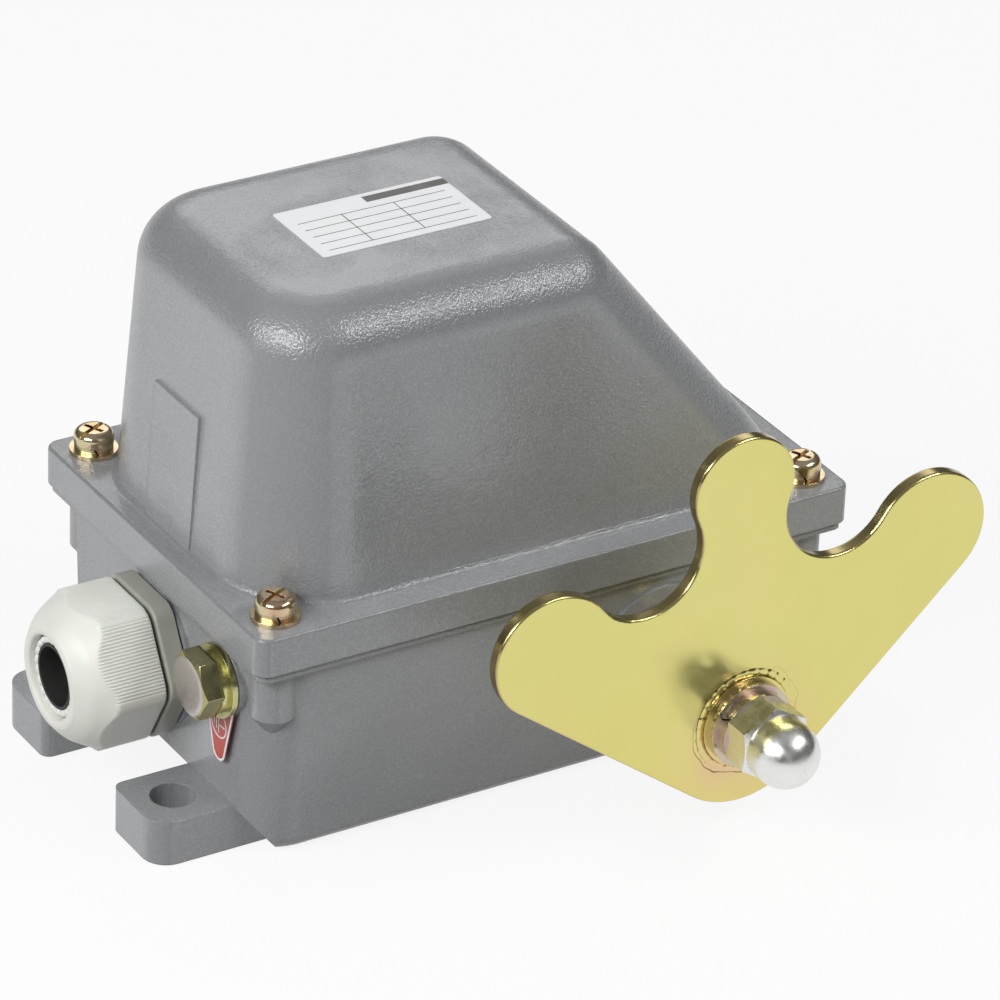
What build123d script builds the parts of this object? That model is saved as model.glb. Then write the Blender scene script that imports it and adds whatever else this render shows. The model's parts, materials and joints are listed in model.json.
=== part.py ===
from build123d import *
import math
import os

# Lever limit switch. Origin: centre of the mounting face, +Z up.
# The cable gland looks towards -X and the lever stands in front, towards -Y. Millimetres.

# Cover
FLANGE_L = 180.0
FLANGE_W = 119.4
FLANGE_T = 10.8
FLANGE_R = 4.2
FLANGE_EDGE = 0.9
COVER_H = 150.0            # height of the cover's top above the mounting face
COVER_WALL = 4.0
DOME_SET_IN_X = 6.5        # dome's foot inside the flange edge
DOME_SET_IN_Y = 8.5
DOME_DRAFT = 4.2           # degrees
DOME_CORNER_R = 31.0
DOME_TOP_CORNER_R = 23.0
DOME_EDGE_R = 15.5
DOME_FOOT_R = 1.9
CREST_X = 19.5             # where the sloping end meets the top
SLOPE_FOOT = -0.5          # height over the flange at which the slope meets the end wall
PAD_Y0 = -10.6             # raised pad on the left wall of the dome
PAD_Y1 = 13.0
PAD_H = 39.0
PAD_FOOT_PROUD = 0.5
PAD_TOP_PROUD = 1.0

# Base housing
BASE_H = 59.4
BASE_WALL = 4.5
FLOOR_T = 4.5
RIM_SET_IN = 1.2           # rim edge inside the flange edge
RIM_T = 1.6
WALL_SET_IN = 1.5          # top of the long walls inside the rim edge
WALL_LEAN = 5.1            # how far a long wall comes in from its top to its foot
END_SET_IN = 2.8           # end walls inside the flange edge
CORNER_BULGE = 2.0         # what the corner arcs would reach past the flat end walls
CORNER_R_BOTTOM = 17.0
CORNER_R_TOP = 20.0
BASE_EDGE_R = 5.0
SLANT_IN = 9.8             # the undersides of the ends slant up from here, inside the end wall
SLANT_H = 12.0
GASKET_T = 0.8
GASKET_SET_IN = 1.2        # gasket edge inside the rim
GASKET_LAP_GAP = 0.5       # from the wall's inner face to the gasket

# Feet
FOOT_REACH = 20.5          # past the flange edge
FOOT_Y0 = 19.0
FOOT_Y1 = 43.0
FOOT_T = 13.0
FOOT_OUTER_R = 7.0
FOOT_INNER_R = 3.0
MOUNT_FROM_TIP = 11.5
MOUNT_HOLE_D = 12.0

# Cover screws, M6
SCREW_FROM_END = 10.0      # screw centres inside the flange edges
SCREW_FROM_SIDE = 10.2
COVER_SCREW_D = 6.0
COVER_SCREW_L = 25.0
COVER_HEAD_D = 10.8
COVER_HEAD_H = 3.9
COVER_WASHER_D = 13.2
COVER_WASHER_T = 1.3
COVER_SPRING_D = 10.6
COVER_SPRING_T = 1.6
SCREW_BOSS_D = 12.6
SCREW_BOSS_H = 16.4
SCREW_BOSS_TAIL = 7.0
SCREW_BOSS_TIP_D = 2.0
COVER_HOLE_D = 6.6
COVER_SLOT_TURN = 25.0     # degrees
COVER_SPLIT_TURN = 250.0

# Shaft and its bearings
SHAFT_X = 33.7
SHAFT_Z = 34.3
SHAFT_D = 16.0
SHAFT_SHOULDER_Y = -59.8
SHAFT_REAR_Y = 51.5
SQUARE_D = 14.0            # turned-down front part with two flats
SQUARE_FLAT = 11.0
THREAD_D = 12.0
BOSS_D = 39.0
BOSS_FACE_Y = -57.3
BOSS_INNER_Y = 42.0
BUSH_D = 22.0
BUSH_FLANGE_D = 28.0
BUSH_FLANGE_T = 2.0
REAR_BORE_END = 52.3
RUNNING_FIT = 0.04         # radial
SEAL_D = 26.0
SEAL_T = 4.0
SEAL_LIP_GAP = 0.02

# Lever
PLATE_FRONT_Y = -97.6
PLATE_T = 4.0
PLATE_EDGE = 0.8
LEVER_LEAN = 3.33          # degrees, how the plate is set on its hub
HUB_D = 26.0
HUB_PROUD = 0.7
WELD_W = 2.4
WELD_T = 0.6
BOTTOM_R = 24.5
SIDE_X = 57.3
SIDE_Z = 38.5
SIDE_R = 17.3
MIDDLE_Z = 69.4
MIDDLE_R = 15.0
NOTCH_R = 16.6
LEVER_WASHER_D = 24.0
LEVER_WASHER_T = 2.5
LEVER_SPRING_D = 20.6
LEVER_SPRING_T = 3.0
NUT_AF = 19.0
NUT_H = 22.0
NUT_HEX_H = 8.6
NUT_DOME_D = 18.4
NUT_BORE_DEPTH = 15.0
THREAD_END_GAP = 1.0       # between the shaft's end and the bottom of the nut's bore
LEVER_SPLIT_TURN = 150.0

# Parts on the shaft, front to rear
STACK_START_Y = -38.0
FRONT_SPACER_W = 7.0
WHEEL_W = 6.0
WHEEL_SPACER_W = 13.0
CAM_W = 8.0
CAM_SPACER_W = 20.0
REAR_SPACER_W = 14.0
SPACER_D = 23.0
KEY_W = 5.0
KEY_SEAT = 3.0
KEY_PROUD = 2.0
KEY_FIT = 0.05
CIRCLIP_D = 22.0
CIRCLIP_T = 1.2
GROOVE_DEPTH = 0.6
GROOVE_SLACK = 0.05

# Cams and contact arms
LEVER_SWING = 40.0         # degrees either way
ARM_SWING = 7.2            # degrees of arm for a full swing of the lever
CAM_MEAN_R = 16.5
ROLLER_D = 12.0
ROLLER_W = 7.0
ROLLER_GAP = 0.12
ROLLER_ANGLE = 135.0       # where the roller meets the cam, from +X
ROLLER_BORE_D = 4.0
ARM_LENGTH = 24.0
ARM_FINGER = 36.0
ARM_W = 12.6
ARM_HUB_D = 14.0
ARM_STRUT = 8.4
ARM_FINGER_T = 6.0
FORK_GAP = 0.3
FORK_CLEAR = 1.6
ROD_D = 6.0
CAM_MARGIN = 20.0          # degrees of cam track beyond each end of the swing

# Detent
WHEEL_D = 40.0
NOTCH_BEAD_R = 3.0
NOTCH_FIT = 0.2
NOTCH_CENTRE_R = 20.5
LEAF_T = 0.8
LEAF_W = 8.0
LEAF_LEFT = 14.0           # reach of the leaf beyond the shaft axis
LEAF_RIGHT = 33.0
LEAF_SCREW_X = 28.0

# Contacts
BRIDGE_L = 22.0
BRIDGE_T = 1.2
BRIDGE_H = 7.0
BUTTON_D = 5.0
BUTTON_T = 1.5
BUTTON_PITCH = 16.0
FIXED_BUTTON_T = 0.8
CONTACT_GAP = 0.15         # left when the lever is at its limit
STRIP_T = 1.5
STRIP_W = 6.0
STRIP_RUN = 22.0
BLOCK_W = 56.0
BLOCK_D = 26.0
BLOCK_H = 18.5
BLOCK_OVER_BUTTON = 7.2    # block top above the contact button
TERMINAL_X = 16.5          # screw centre behind the block's face

# Chassis bracket
CHASSIS_T = 2.5
CHASSIS_Z = 10.0
CHASSIS_END_X = 12.0
CHASSIS_RISE = 8.0         # upright above the block
EAR_TOP = 7.0              # ear above the rod
EAR_HALF = 8.0
EAR_R = 6.0
EAR_SIDE_GAP = 2.7         # between arm and ear
CLIP_D = 11.0
CLIP_T = 0.8
CLIP_GAP = 0.1
PILLAR_D = 10.0
PILLAR_X = (-28.0, 4.0)
PILLAR_INSET = 9.0

# Screw heads, as shares of the head's diameter and height
PAN_EDGE = 0.55
SLOT_W = 0.115
SLOT_DEPTH = 0.7
CROSS_L = 0.55
CROSS_DEPTH = 0.9
HEX_CROWN = 0.97           # flat crown of a hexagon, as a share of the width across flats

# Spring washers
SPLIT_W = 0.5
SPLIT_SLANT = 28.0

# Small screws, M4
M4_D = 4.0
M4_HEAD_D = 6.4
M4_HEAD_H = 2.6
M4_WASHER_D = 7.2
M4_WASHER_T = 0.8
M4_SHORT = 5.5
M4_CHASSIS = 7.0
M4_TERMINAL = 10.0
M4_LONG = 12.0

# Arm springs
WIRE_D = 1.2
SPRING_TURNS = 4
SPRING_CLEAR = 0.7
SPRING_ARM_GAP = 0.3
SPRING_PITCH = 1.08        # of the wire's diameter

# Cable gland
GLAND_Y = 0.0
GLAND_Z = 37.5
SEAT_PROUD = 1.4           # gland and earth seats past the end wall
GLAND_SEAT_D = 41.0
GLAND_RING_T = 0.6
GLAND_RING_D = 38.8
GLAND_AF = 39.6
GLAND_HEX_W = 5.6
GLAND_HEX_R = 6.0
GLAND_THREAD_D = 37.0
GLAND_THREAD_L = 15.0
GLAND_NECK_D = 33.0
GLAND_NECK_L = 12.5
GLAND_BORE_D = 25.0
GLAND_CAP_GAP = 0.9
GLAND_CAP_L = 23.5
GLAND_GRIP_L = 13.5
GLAND_CAP_R = 7.0
GLAND_CAP_CORNER_D = 43.4
GRIP_FLATS = (0, -60, 180, 120)   # ribbed flats, degrees from the top
GRIP_COUNT = 14
GRIP_PITCH = 1.0
GRIP_DEPTH = 0.35
CAP_RIM_R = 0.7
CAP_LIP = 1.5
NECK_CLEAR = 0.5
GLAND_HEX_EDGE = 0.8
GLAND_NOSE_D = 29.0
SHOULDER_BULGE = 1.7       # how far the nose's shoulder swells past a straight cone
GLAND_MOUTH_D = 22.6
GLAND_CABLE_D = 16.2
CLAW_SLOTS = 14
CLAW_SLOT_W = 1.0
CLAW_RING_T = 2.6
CLAW_TIP_IN = 1.2          # claw's tip inside the cap's mouth
CLAW_T = 1.6
CLAW_CABLE_GAP = 0.9
CLAW_SIDE_GAP = 0.4
CLAW_TAPER = 1.5
CONE_L = 3.0               # cone of claw and seal past the body's neck
SEAL_TIP_IN = 1.6
SEAL_WALL = 2.4
SEAL_LIP = 0.8
LOCKNUT_AF = 40.0
LOCKNUT_T = 5.0
GLAND_SEAT_L = 6.6          # seat face to the locknut inside

# Earth bolt, M10
EARTH_Y = -37.2
EARTH_Z = 48.5
EARTH_SEAT_D = 20.0
EARTH_BOSS_L = 14.0
EARTH_D = 10.0
EARTH_AF = 17.0
EARTH_HEAD_H = 5.8
EARTH_L = 18.0
EARTH_WASHER_D = 20.0
EARTH_WASHER_T = 1.6
EARTH_SPRING_D = 17.0
EARTH_SPRING_T = 2.0
EARTH_SPLIT_TURN = 200.0
TAG_T = 0.4
TAG_D = 18.0
TAG_TAIL = 21.0
TAG_TAIL_R = 3.3

# Rating label
LABEL_X = -22.7
LABEL_Y = -0.7
LABEL_L = 50.3
LABEL_W = 27.4
LABEL_T = 0.2
LABEL_R = 1.0

# Levels and places that follow from the sizes above
COVER_BOTTOM = BASE_H + GASKET_T
FLANGE_TOP = COVER_BOTTOM + FLANGE_T
DOME_L = FLANGE_L - 2 * DOME_SET_IN_X
DOME_W = FLANGE_W - 2 * DOME_SET_IN_Y
RIM_L = FLANGE_L - 2 * RIM_SET_IN
RIM_W = FLANGE_W - 2 * RIM_SET_IN
RIM_R = FLANGE_R - RIM_SET_IN
BASE_TOP_W = RIM_W - 2 * WALL_SET_IN
BASE_BOTTOM_W = BASE_TOP_W - 2 * WALL_LEAN
BASE_END_X = FLANGE_L / 2 - END_SET_IN
FOOT_TIP_X = FLANGE_L / 2 + FOOT_REACH
MOUNT_X = FOOT_TIP_X - MOUNT_FROM_TIP
MOUNT_Y = (FOOT_Y0 + FOOT_Y1) / 2
COVER_SCREW_X = FLANGE_L / 2 - SCREW_FROM_END
COVER_SCREW_Y = FLANGE_W / 2 - SCREW_FROM_SIDE
GLAND_SEAT_X = -BASE_END_X - SEAT_PROUD
EARTH_SEAT_X = GLAND_SEAT_X
LOCKNUT_SEAT_X = GLAND_SEAT_X + GLAND_SEAT_L
DRAFT_TAN = math.tan(math.radians(DOME_DRAFT))
NUT_SEAT_Y = PLATE_FRONT_Y - HUB_PROUD - LEVER_WASHER_T - LEVER_SPRING_T
ROLLER_RUN = CAM_MEAN_R + ROLLER_D / 2 + ROLLER_GAP
ROLLER_X = SHAFT_X + ROLLER_RUN * math.cos(math.radians(ROLLER_ANGLE))
ROLLER_Z = SHAFT_Z + ROLLER_RUN * math.sin(math.radians(ROLLER_ANGLE))
PIVOT_X = ROLLER_X - ARM_LENGTH * math.sin(math.radians(ROLLER_ANGLE))
PIVOT_Z = ROLLER_Z + ARM_LENGTH * math.cos(math.radians(ROLLER_ANGLE))
TIP_X = PIVOT_X + ARM_FINGER * math.sin(math.radians(ARM_SWING))
TIP_Z = PIVOT_Z + ARM_FINGER * math.cos(math.radians(ARM_SWING))
CONTACT_Z = PIVOT_Z + ARM_FINGER
FIXED_FACE_X = PIVOT_X - ARM_FINGER_T / 2 - BRIDGE_T - BUTTON_T - CONTACT_GAP
BLOCK_FACE_X = FIXED_FACE_X - FIXED_BUTTON_T - STRIP_T
BLOCK_TOP = CONTACT_Z + BLOCK_OVER_BUTTON
CHASSIS_BACK_X = BLOCK_FACE_X - BLOCK_D
CHASSIS_TOP = CHASSIS_Z + CHASSIS_T
FRONT_WHEEL_Y = STACK_START_Y + FRONT_SPACER_W
FRONT_CAM_Y = FRONT_WHEEL_Y + WHEEL_W + WHEEL_SPACER_W
REAR_CAM_Y = FRONT_CAM_Y + CAM_W + CAM_SPACER_W
STACK_END_Y = REAR_CAM_Y + CAM_W + REAR_SPACER_W
CAM_MIDDLES = {"front": FRONT_CAM_Y + CAM_W / 2, "rear": REAR_CAM_Y + CAM_W / 2}
MECH_MIDDLE_Y = (CAM_MIDDLES["front"] + CAM_MIDDLES["rear"]) / 2
FRONT_EAR_Y = CAM_MIDDLES["front"] - ARM_W / 2 - EAR_SIDE_GAP - CHASSIS_T
REAR_EAR_Y = CAM_MIDDLES["rear"] + ARM_W / 2 + EAR_SIDE_GAP
WHEEL_MIDDLE_Y = FRONT_WHEEL_Y + WHEEL_W / 2
BEAD_Z = SHAFT_Z - NOTCH_CENTRE_R
LEAF_Z = BEAD_Z - NOTCH_BEAD_R
GLAND_HEX_X = GLAND_SEAT_X - GLAND_RING_T
GLAND_FACE_X = GLAND_HEX_X - GLAND_HEX_W
CAP_X = GLAND_FACE_X - GLAND_CAP_GAP

TOUCH = 0.01
FRONTWARD = (90, 0, 0)
LEFTWARD = (0, -90, 0)
FLATS_UP = 30.0            # turn of a hexagon on the left wall, degrees


def block(x0, x1, y0, y1, z0, z1):
    """A box between two corners."""
    centre = Pos((x0 + x1) / 2, (y0 + y1) / 2, (z0 + z1) / 2)
    return centre * Box(abs(x1 - x0), abs(y1 - y0), abs(z1 - z0))


def rod_x(diameter, x0, x1, y, z):
    return Pos((x0 + x1) / 2, y, z) * Rot(0, 90, 0) * Cylinder(diameter / 2, abs(x1 - x0))


def rod_y(diameter, y0, y1, x, z):
    return Pos(x, (y0 + y1) / 2, z) * Rot(90, 0, 0) * Cylinder(diameter / 2, abs(y1 - y0))


def rod_z(diameter, z0, z1, x, y):
    return Pos(x, y, (z0 + z1) / 2) * Cylinder(diameter / 2, abs(z1 - z0))


def on_shaft(diameter, y0, y1):
    return rod_y(diameter, y0, y1, SHAFT_X, SHAFT_Z)


def hexagon(across_flats, corner_r=0.0, turn=0.0):
    outline = Rot(0, 0, turn) * RegularPolygon(across_flats / 2, 6, major_radius=False)
    if corner_r:
        outline = fillet(outline.vertices(), corner_r)
    return outline


def four_corners(x, y):
    return [(sx * x, sy * y) for sx in (-1, 1) for sy in (-1, 1)]


# Fasteners, each drawn with its seat at the local origin and its head towards +Z

def flat_washer(bore, outer, thick):
    return Pos(0, 0, thick / 2) * (Cylinder(outer / 2, thick) - Cylinder(bore / 2, thick))


def spring_washer(bore, outer, thick, split_angle=0.0):
    ring = flat_washer(bore, outer, thick)
    cut = Rot(SPLIT_SLANT, 0, 0) * Box(outer, SPLIT_W, 3 * thick)
    split = Rot(0, 0, split_angle) * Pos(outer / 2, 0, thick / 2) * cut
    return ring - split


def pan_screw(size, head_d, head_h, length, slot_turn=0.0):
    """A pan-head screw with a combined slot and cross."""
    head = Pos(0, 0, head_h / 2) * Cylinder(head_d / 2, head_h)
    head = fillet(head.edges().sort_by(Axis.Z)[-1], PAN_EDGE * head_h)
    drive = Box(head_d, SLOT_W * head_d, SLOT_DEPTH * head_h)
    drive += Box(SLOT_W * head_d, CROSS_L * head_d, CROSS_DEPTH * head_h)
    head -= Pos(0, 0, head_h) * Rot(0, 0, slot_turn) * drive
    shank = Pos(0, 0, -length / 2) * Cylinder(size / 2, length)
    return head + shank


def hex_head(across_flats, height, turn=0.0):
    """A hexagon with its outer corners chamfered at 30 degrees."""
    corner = across_flats / math.sqrt(3)
    crown = Pos(0, 0, height / 2) * Cylinder(corner, height)
    bevel = corner - across_flats / 2 * HEX_CROWN
    crown = chamfer(crown.edges().sort_by(Axis.Z)[-1], bevel * math.tan(math.radians(30)), bevel)
    return extrude(hexagon(across_flats, turn=turn), height) & crown


# Housing and cover

def tapered_form(length_0, width_0, radius_0, z_0, length_1, width_1, radius_1, z_1):
    lower = Pos(0, 0, z_0) * RectangleRounded(length_0, width_0, radius_0)
    upper = Pos(0, 0, z_1) * RectangleRounded(length_1, width_1, radius_1)
    return loft([lower.face(), upper.face()])


def base_form(inset, z0, z1):
    """The body between two levels, all walls moved in by the inset, with flat ends that slant below."""
    length = 2 * (BASE_END_X + CORNER_BULGE - inset)
    form = tapered_form(
        length, BASE_BOTTOM_W - 2 * inset, CORNER_R_BOTTOM - inset, z0,
        length, BASE_TOP_W - 2 * inset, CORNER_R_TOP - inset, z1,
    )
    form = fillet(form.edges().group_by(Axis.Z)[0], BASE_EDGE_R - inset / 2)
    end = BASE_END_X - inset
    form &= block(-end, end, -BASE_TOP_W, BASE_TOP_W, z0, z1)
    slant = end_slant(inset)
    return form - slant - mirror(slant, Plane.YZ)


def end_slant(inset):
    """What lies below the slanting underside of the right end, which the inset moves inwards."""
    angle = math.degrees(math.atan2(SLANT_H, SLANT_IN))
    far = FLANGE_W
    below = Pos(0, 0, inset - far / 2) * Box(2 * far, 2 * far, far)
    return Pos(BASE_END_X - SLANT_IN, 0, 0) * Rot(0, -angle, 0) * below


def make_base():
    wall_top = BASE_H - RIM_T
    body = base_form(0.0, 0.0, wall_top)
    body += Pos(0, 0, wall_top) * extrude(RectangleRounded(RIM_L, RIM_W, RIM_R), RIM_T)
    boss_foot = BASE_H - SCREW_BOSS_H
    tail = Cone(SCREW_BOSS_TIP_D / 2, SCREW_BOSS_D / 2, SCREW_BOSS_TAIL)
    for x, y in four_corners(COVER_SCREW_X, COVER_SCREW_Y):
        body += rod_z(SCREW_BOSS_D, boss_foot, BASE_H, x, y)
        body += Pos(x, y, boss_foot - SCREW_BOSS_TAIL / 2) * tail
    foot = make_foot()
    body += foot + mirror(foot, Plane.XZ)
    body += mirror(foot, Plane.YZ) + mirror(mirror(foot, Plane.YZ), Plane.XZ)
    body += on_shaft(BOSS_D, BOSS_FACE_Y, -BOSS_INNER_Y)
    body += rod_x(GLAND_SEAT_D, GLAND_SEAT_X, LOCKNUT_SEAT_X, GLAND_Y, GLAND_Z)
    body += rod_x(EARTH_SEAT_D, EARTH_SEAT_X, EARTH_SEAT_X + EARTH_BOSS_L, EARTH_Y, EARTH_Z)
    body -= make_base_cavity()
    body += make_pillars()
    body -= on_shaft(BUSH_D, BOSS_FACE_Y - 1, -BOSS_INNER_Y + 1)
    body -= on_shaft(SEAL_D, BOSS_FACE_Y - 1, BOSS_FACE_Y + SEAL_T)
    body -= on_shaft(BUSH_D, BOSS_INNER_Y - 1, REAR_BORE_END)
    body -= rod_x(GLAND_THREAD_D, GLAND_SEAT_X - 1, LOCKNUT_SEAT_X + 1, GLAND_Y, GLAND_Z)
    body -= rod_x(EARTH_D, EARTH_SEAT_X - 1, EARTH_SEAT_X + EARTH_BOSS_L + 1, EARTH_Y, EARTH_Z)
    for x, y in four_corners(COVER_SCREW_X, COVER_SCREW_Y):
        body -= rod_z(COVER_SCREW_D, boss_foot - 1, BASE_H + 1, x, y)
    return body


def make_foot():
    """The rear right foot, whose root runs in under the slanting end."""
    foot = block(BASE_END_X - SLANT_IN, FOOT_TIP_X, FOOT_Y0, FOOT_Y1, 0, FOOT_T)
    tip_edges = foot.edges().filter_by(Axis.Z).group_by(Axis.X)[-1].sort_by(Axis.Y)
    foot = fillet(tip_edges[0], FOOT_INNER_R)
    tip_edge = foot.edges().filter_by(Axis.Z).sort_by(Axis.X)[-1]
    foot = fillet(tip_edge, FOOT_OUTER_R)
    return foot - rod_z(MOUNT_HOLE_D, -1, FOOT_T + 1, MOUNT_X, MOUNT_Y)


def make_base_cavity():
    cavity = base_form(BASE_WALL, FLOOR_T, BASE_H)
    for x, y in four_corners(COVER_SCREW_X, COVER_SCREW_Y):
        tail_foot = BASE_H - SCREW_BOSS_H - SCREW_BOSS_TAIL
        cavity -= rod_z(SCREW_BOSS_D, tail_foot, BASE_H, x, y)
    cavity -= on_shaft(BOSS_D, -BASE_TOP_W / 2, -BOSS_INNER_Y)
    cavity -= on_shaft(BOSS_D, BOSS_INNER_Y, BASE_TOP_W / 2)
    cavity -= rod_x(GLAND_SEAT_D, -BASE_END_X, LOCKNUT_SEAT_X, GLAND_Y, GLAND_Z)
    cavity -= rod_x(EARTH_SEAT_D, -BASE_END_X, EARTH_SEAT_X + EARTH_BOSS_L, EARTH_Y, EARTH_Z)
    return cavity


def pillar_places():
    ys = (MECH_MIDDLE_Y - BLOCK_W / 2 + PILLAR_INSET, MECH_MIDDLE_Y + BLOCK_W / 2 - PILLAR_INSET)
    return [(x, y) for x in PILLAR_X for y in ys]


def make_pillars():
    pillars = []
    for x, y in pillar_places():
        pillars.append(rod_z(PILLAR_D, FLOOR_T, CHASSIS_Z, x, y) - rod_z(M4_D, FLOOR_T, CHASSIS_Z, x, y))
    leaf_x = SHAFT_X + LEAF_SCREW_X
    leaf = rod_z(PILLAR_D, FLOOR_T, LEAF_Z, leaf_x, WHEEL_MIDDLE_Y)
    pillars.append(leaf - rod_z(M4_D, FLOOR_T, LEAF_Z, leaf_x, WHEEL_MIDDLE_Y))
    return pillars


def dome_form(inset, edge_r):
    """The drafted dome with its sloping end, all walls moved in by the inset."""
    root_z = COVER_BOTTOM - 2 * DOME_EDGE_R
    top_z = COVER_H - inset
    grow_0 = 2 * (FLANGE_TOP - root_z) * DRAFT_TAN - 2 * inset
    grow_1 = 2 * (FLANGE_TOP - top_z) * DRAFT_TAN - 2 * inset
    corner = DOME_CORNER_R - inset
    form = tapered_form(
        DOME_L + grow_0, DOME_W + grow_0, corner, root_z,
        DOME_L + grow_1, DOME_W + grow_1, DOME_TOP_CORNER_R - inset, top_z,
    )
    foot_z = FLANGE_TOP + SLOPE_FOOT
    run = DOME_L / 2 - CREST_X
    drop = COVER_H - foot_z
    angle = math.atan2(drop, run)
    shift = inset / math.sin(angle)
    far = 2 * DOME_L
    slope = Plane(origin=(CREST_X - shift, 0, COVER_H), x_dir=(run, 0, -drop), z_dir=(drop, 0, run))
    form -= slope * Pos(0, 0, far / 2) * Box(4 * far, far, far)
    tops = form.faces().sort_by(Axis.Z)[-1]
    slanted = form.faces().filter_by(Plane(slope.origin, z_dir=slope.z_dir)).sort_by(SortBy.AREA)[-1]
    keep = []
    for edge in tops.edges() + slanted.edges():
        if edge.bounding_box().max.Z > root_z + 0.5 and not any(edge.is_same(k) for k in keep):
            keep.append(edge)
    return fillet(keep, edge_r)


def make_cover():
    flange = extrude(RectangleRounded(FLANGE_L, FLANGE_W, FLANGE_R), FLANGE_T)
    flange = fillet(flange.edges().group_by(Axis.Z)[-1], FLANGE_EDGE)
    cover = Pos(0, 0, COVER_BOTTOM) * flange
    dome = dome_form(0.0, DOME_EDGE_R)
    below = block(-FLANGE_L, FLANGE_L, -FLANGE_L, FLANGE_L, -FLANGE_L, COVER_BOTTOM)
    cover += dome - below
    seam = [e for e in cover.edges() if at_dome_foot(e)]
    cover = fillet(seam, DOME_FOOT_R)
    cover += make_wall_pad()
    cover -= dome_form(COVER_WALL, DOME_EDGE_R - COVER_WALL)
    for x, y in four_corners(COVER_SCREW_X, COVER_SCREW_Y):
        cover -= rod_z(COVER_HOLE_D, COVER_BOTTOM - 1, FLANGE_TOP + 1, x, y)
    return cover


def at_dome_foot(edge):
    """True for the edges in which the dome's walls meet the flange's top."""
    low, high = edge.bounding_box().min, edge.bounding_box().max
    level = high.Z - low.Z < TOUCH and abs(low.Z - FLANGE_TOP) < TOUCH
    reach_x = max(-low.X, high.X)
    reach_y = max(-low.Y, high.Y)
    return level and reach_x < (FLANGE_L - DOME_SET_IN_X) / 2 and reach_y < (FLANGE_W - DOME_SET_IN_Y) / 2


def make_wall_pad():
    """A shallow pad on the left wall that stands further proud towards its top."""
    foot_x = -DOME_L / 2 - PAD_FOOT_PROUD
    top_x = -DOME_L / 2 + PAD_H * DRAFT_TAN - PAD_TOP_PROUD
    root_x = -DOME_L / 2 + COVER_WALL
    side = Polygon(
        (foot_x, FLANGE_TOP), (root_x, FLANGE_TOP),
        (root_x, FLANGE_TOP + PAD_H), (top_x, FLANGE_TOP + PAD_H), align=None,
    )
    return extrude(Plane.XZ.offset(-PAD_Y1) * side, PAD_Y1 - PAD_Y0)


def make_gasket():
    set_in = 2 * GASKET_SET_IN
    wall = BASE_WALL - GASKET_LAP_GAP
    ring = RectangleRounded(RIM_L - set_in, RIM_W - set_in, RIM_R - GASKET_SET_IN)
    inner = RectangleRounded(
        2 * (BASE_END_X - wall), BASE_TOP_W - 2 * wall, CORNER_R_TOP - wall
    )
    ring -= inner
    for x, y in four_corners(COVER_SCREW_X, COVER_SCREW_Y):
        ring += Pos(x, y) * Circle(SCREW_BOSS_D / 2)
    for x, y in four_corners(COVER_SCREW_X, COVER_SCREW_Y):
        ring -= Pos(x, y) * Circle(COVER_HOLE_D / 2)
    return Pos(0, 0, BASE_H) * extrude(ring, GASKET_T)


def make_label():
    sheet = extrude(RectangleRounded(LABEL_L, LABEL_W, LABEL_R), LABEL_T)
    return Pos(LABEL_X, LABEL_Y, COVER_H) * sheet


# Shaft line

def make_shaft():
    shaft = on_shaft(SHAFT_D, SHAFT_SHOULDER_Y, SHAFT_REAR_Y)
    flats_end = PLATE_FRONT_Y - HUB_PROUD
    shaft += on_shaft(SQUARE_D, flats_end, SHAFT_SHOULDER_Y) & block(
        SHAFT_X - SQUARE_FLAT / 2, SHAFT_X + SQUARE_FLAT / 2, flats_end, SHAFT_SHOULDER_Y,
        SHAFT_Z - SQUARE_D, SHAFT_Z + SQUARE_D,
    )
    shaft += on_shaft(THREAD_D, NUT_SEAT_Y - NUT_BORE_DEPTH + THREAD_END_GAP, flats_end) & block(
        SHAFT_X - SQUARE_FLAT / 2, SHAFT_X + SQUARE_FLAT / 2, NUT_SEAT_Y - NUT_BORE_DEPTH, flats_end,
        SHAFT_Z - SQUARE_D, SHAFT_Z + SQUARE_D,
    )
    for y in (STACK_START_Y - CIRCLIP_T - GROOVE_SLACK, STACK_END_Y):
        groove = on_shaft(SHAFT_D + 2, y, y + CIRCLIP_T + GROOVE_SLACK)
        groove -= on_shaft(SHAFT_D - 2 * GROOVE_DEPTH, y, y + CIRCLIP_T + GROOVE_SLACK)
        shaft -= groove
    return shaft - make_key()


def make_key():
    rear = REAR_CAM_Y + CAM_W
    return block(
        SHAFT_X - KEY_W / 2, SHAFT_X + KEY_W / 2, FRONT_WHEEL_Y, rear,
        SHAFT_Z + SHAFT_D / 2 - KEY_SEAT, SHAFT_Z + SHAFT_D / 2 + KEY_PROUD,
    )


def bore_with_keyway(y0, y1):
    half = KEY_W / 2 + KEY_FIT
    slot = block(
        SHAFT_X - half, SHAFT_X + half, y0, y1,
        SHAFT_Z, SHAFT_Z + SHAFT_D / 2 + KEY_PROUD + KEY_FIT,
    )
    return on_shaft(SHAFT_D, y0, y1) + slot


def make_circlips():
    clips = []
    for y in (STACK_START_Y - CIRCLIP_T, STACK_END_Y):
        clip = on_shaft(CIRCLIP_D, y, y + CIRCLIP_T)
        clip -= on_shaft(SHAFT_D - 2 * GROOVE_DEPTH, y, y + CIRCLIP_T)
        clip -= block(
            SHAFT_X - KEY_W / 2, SHAFT_X + KEY_W / 2, y, y + CIRCLIP_T, SHAFT_Z - CIRCLIP_D, SHAFT_Z,
        )
        clips.append(clip)
    return clips


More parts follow.
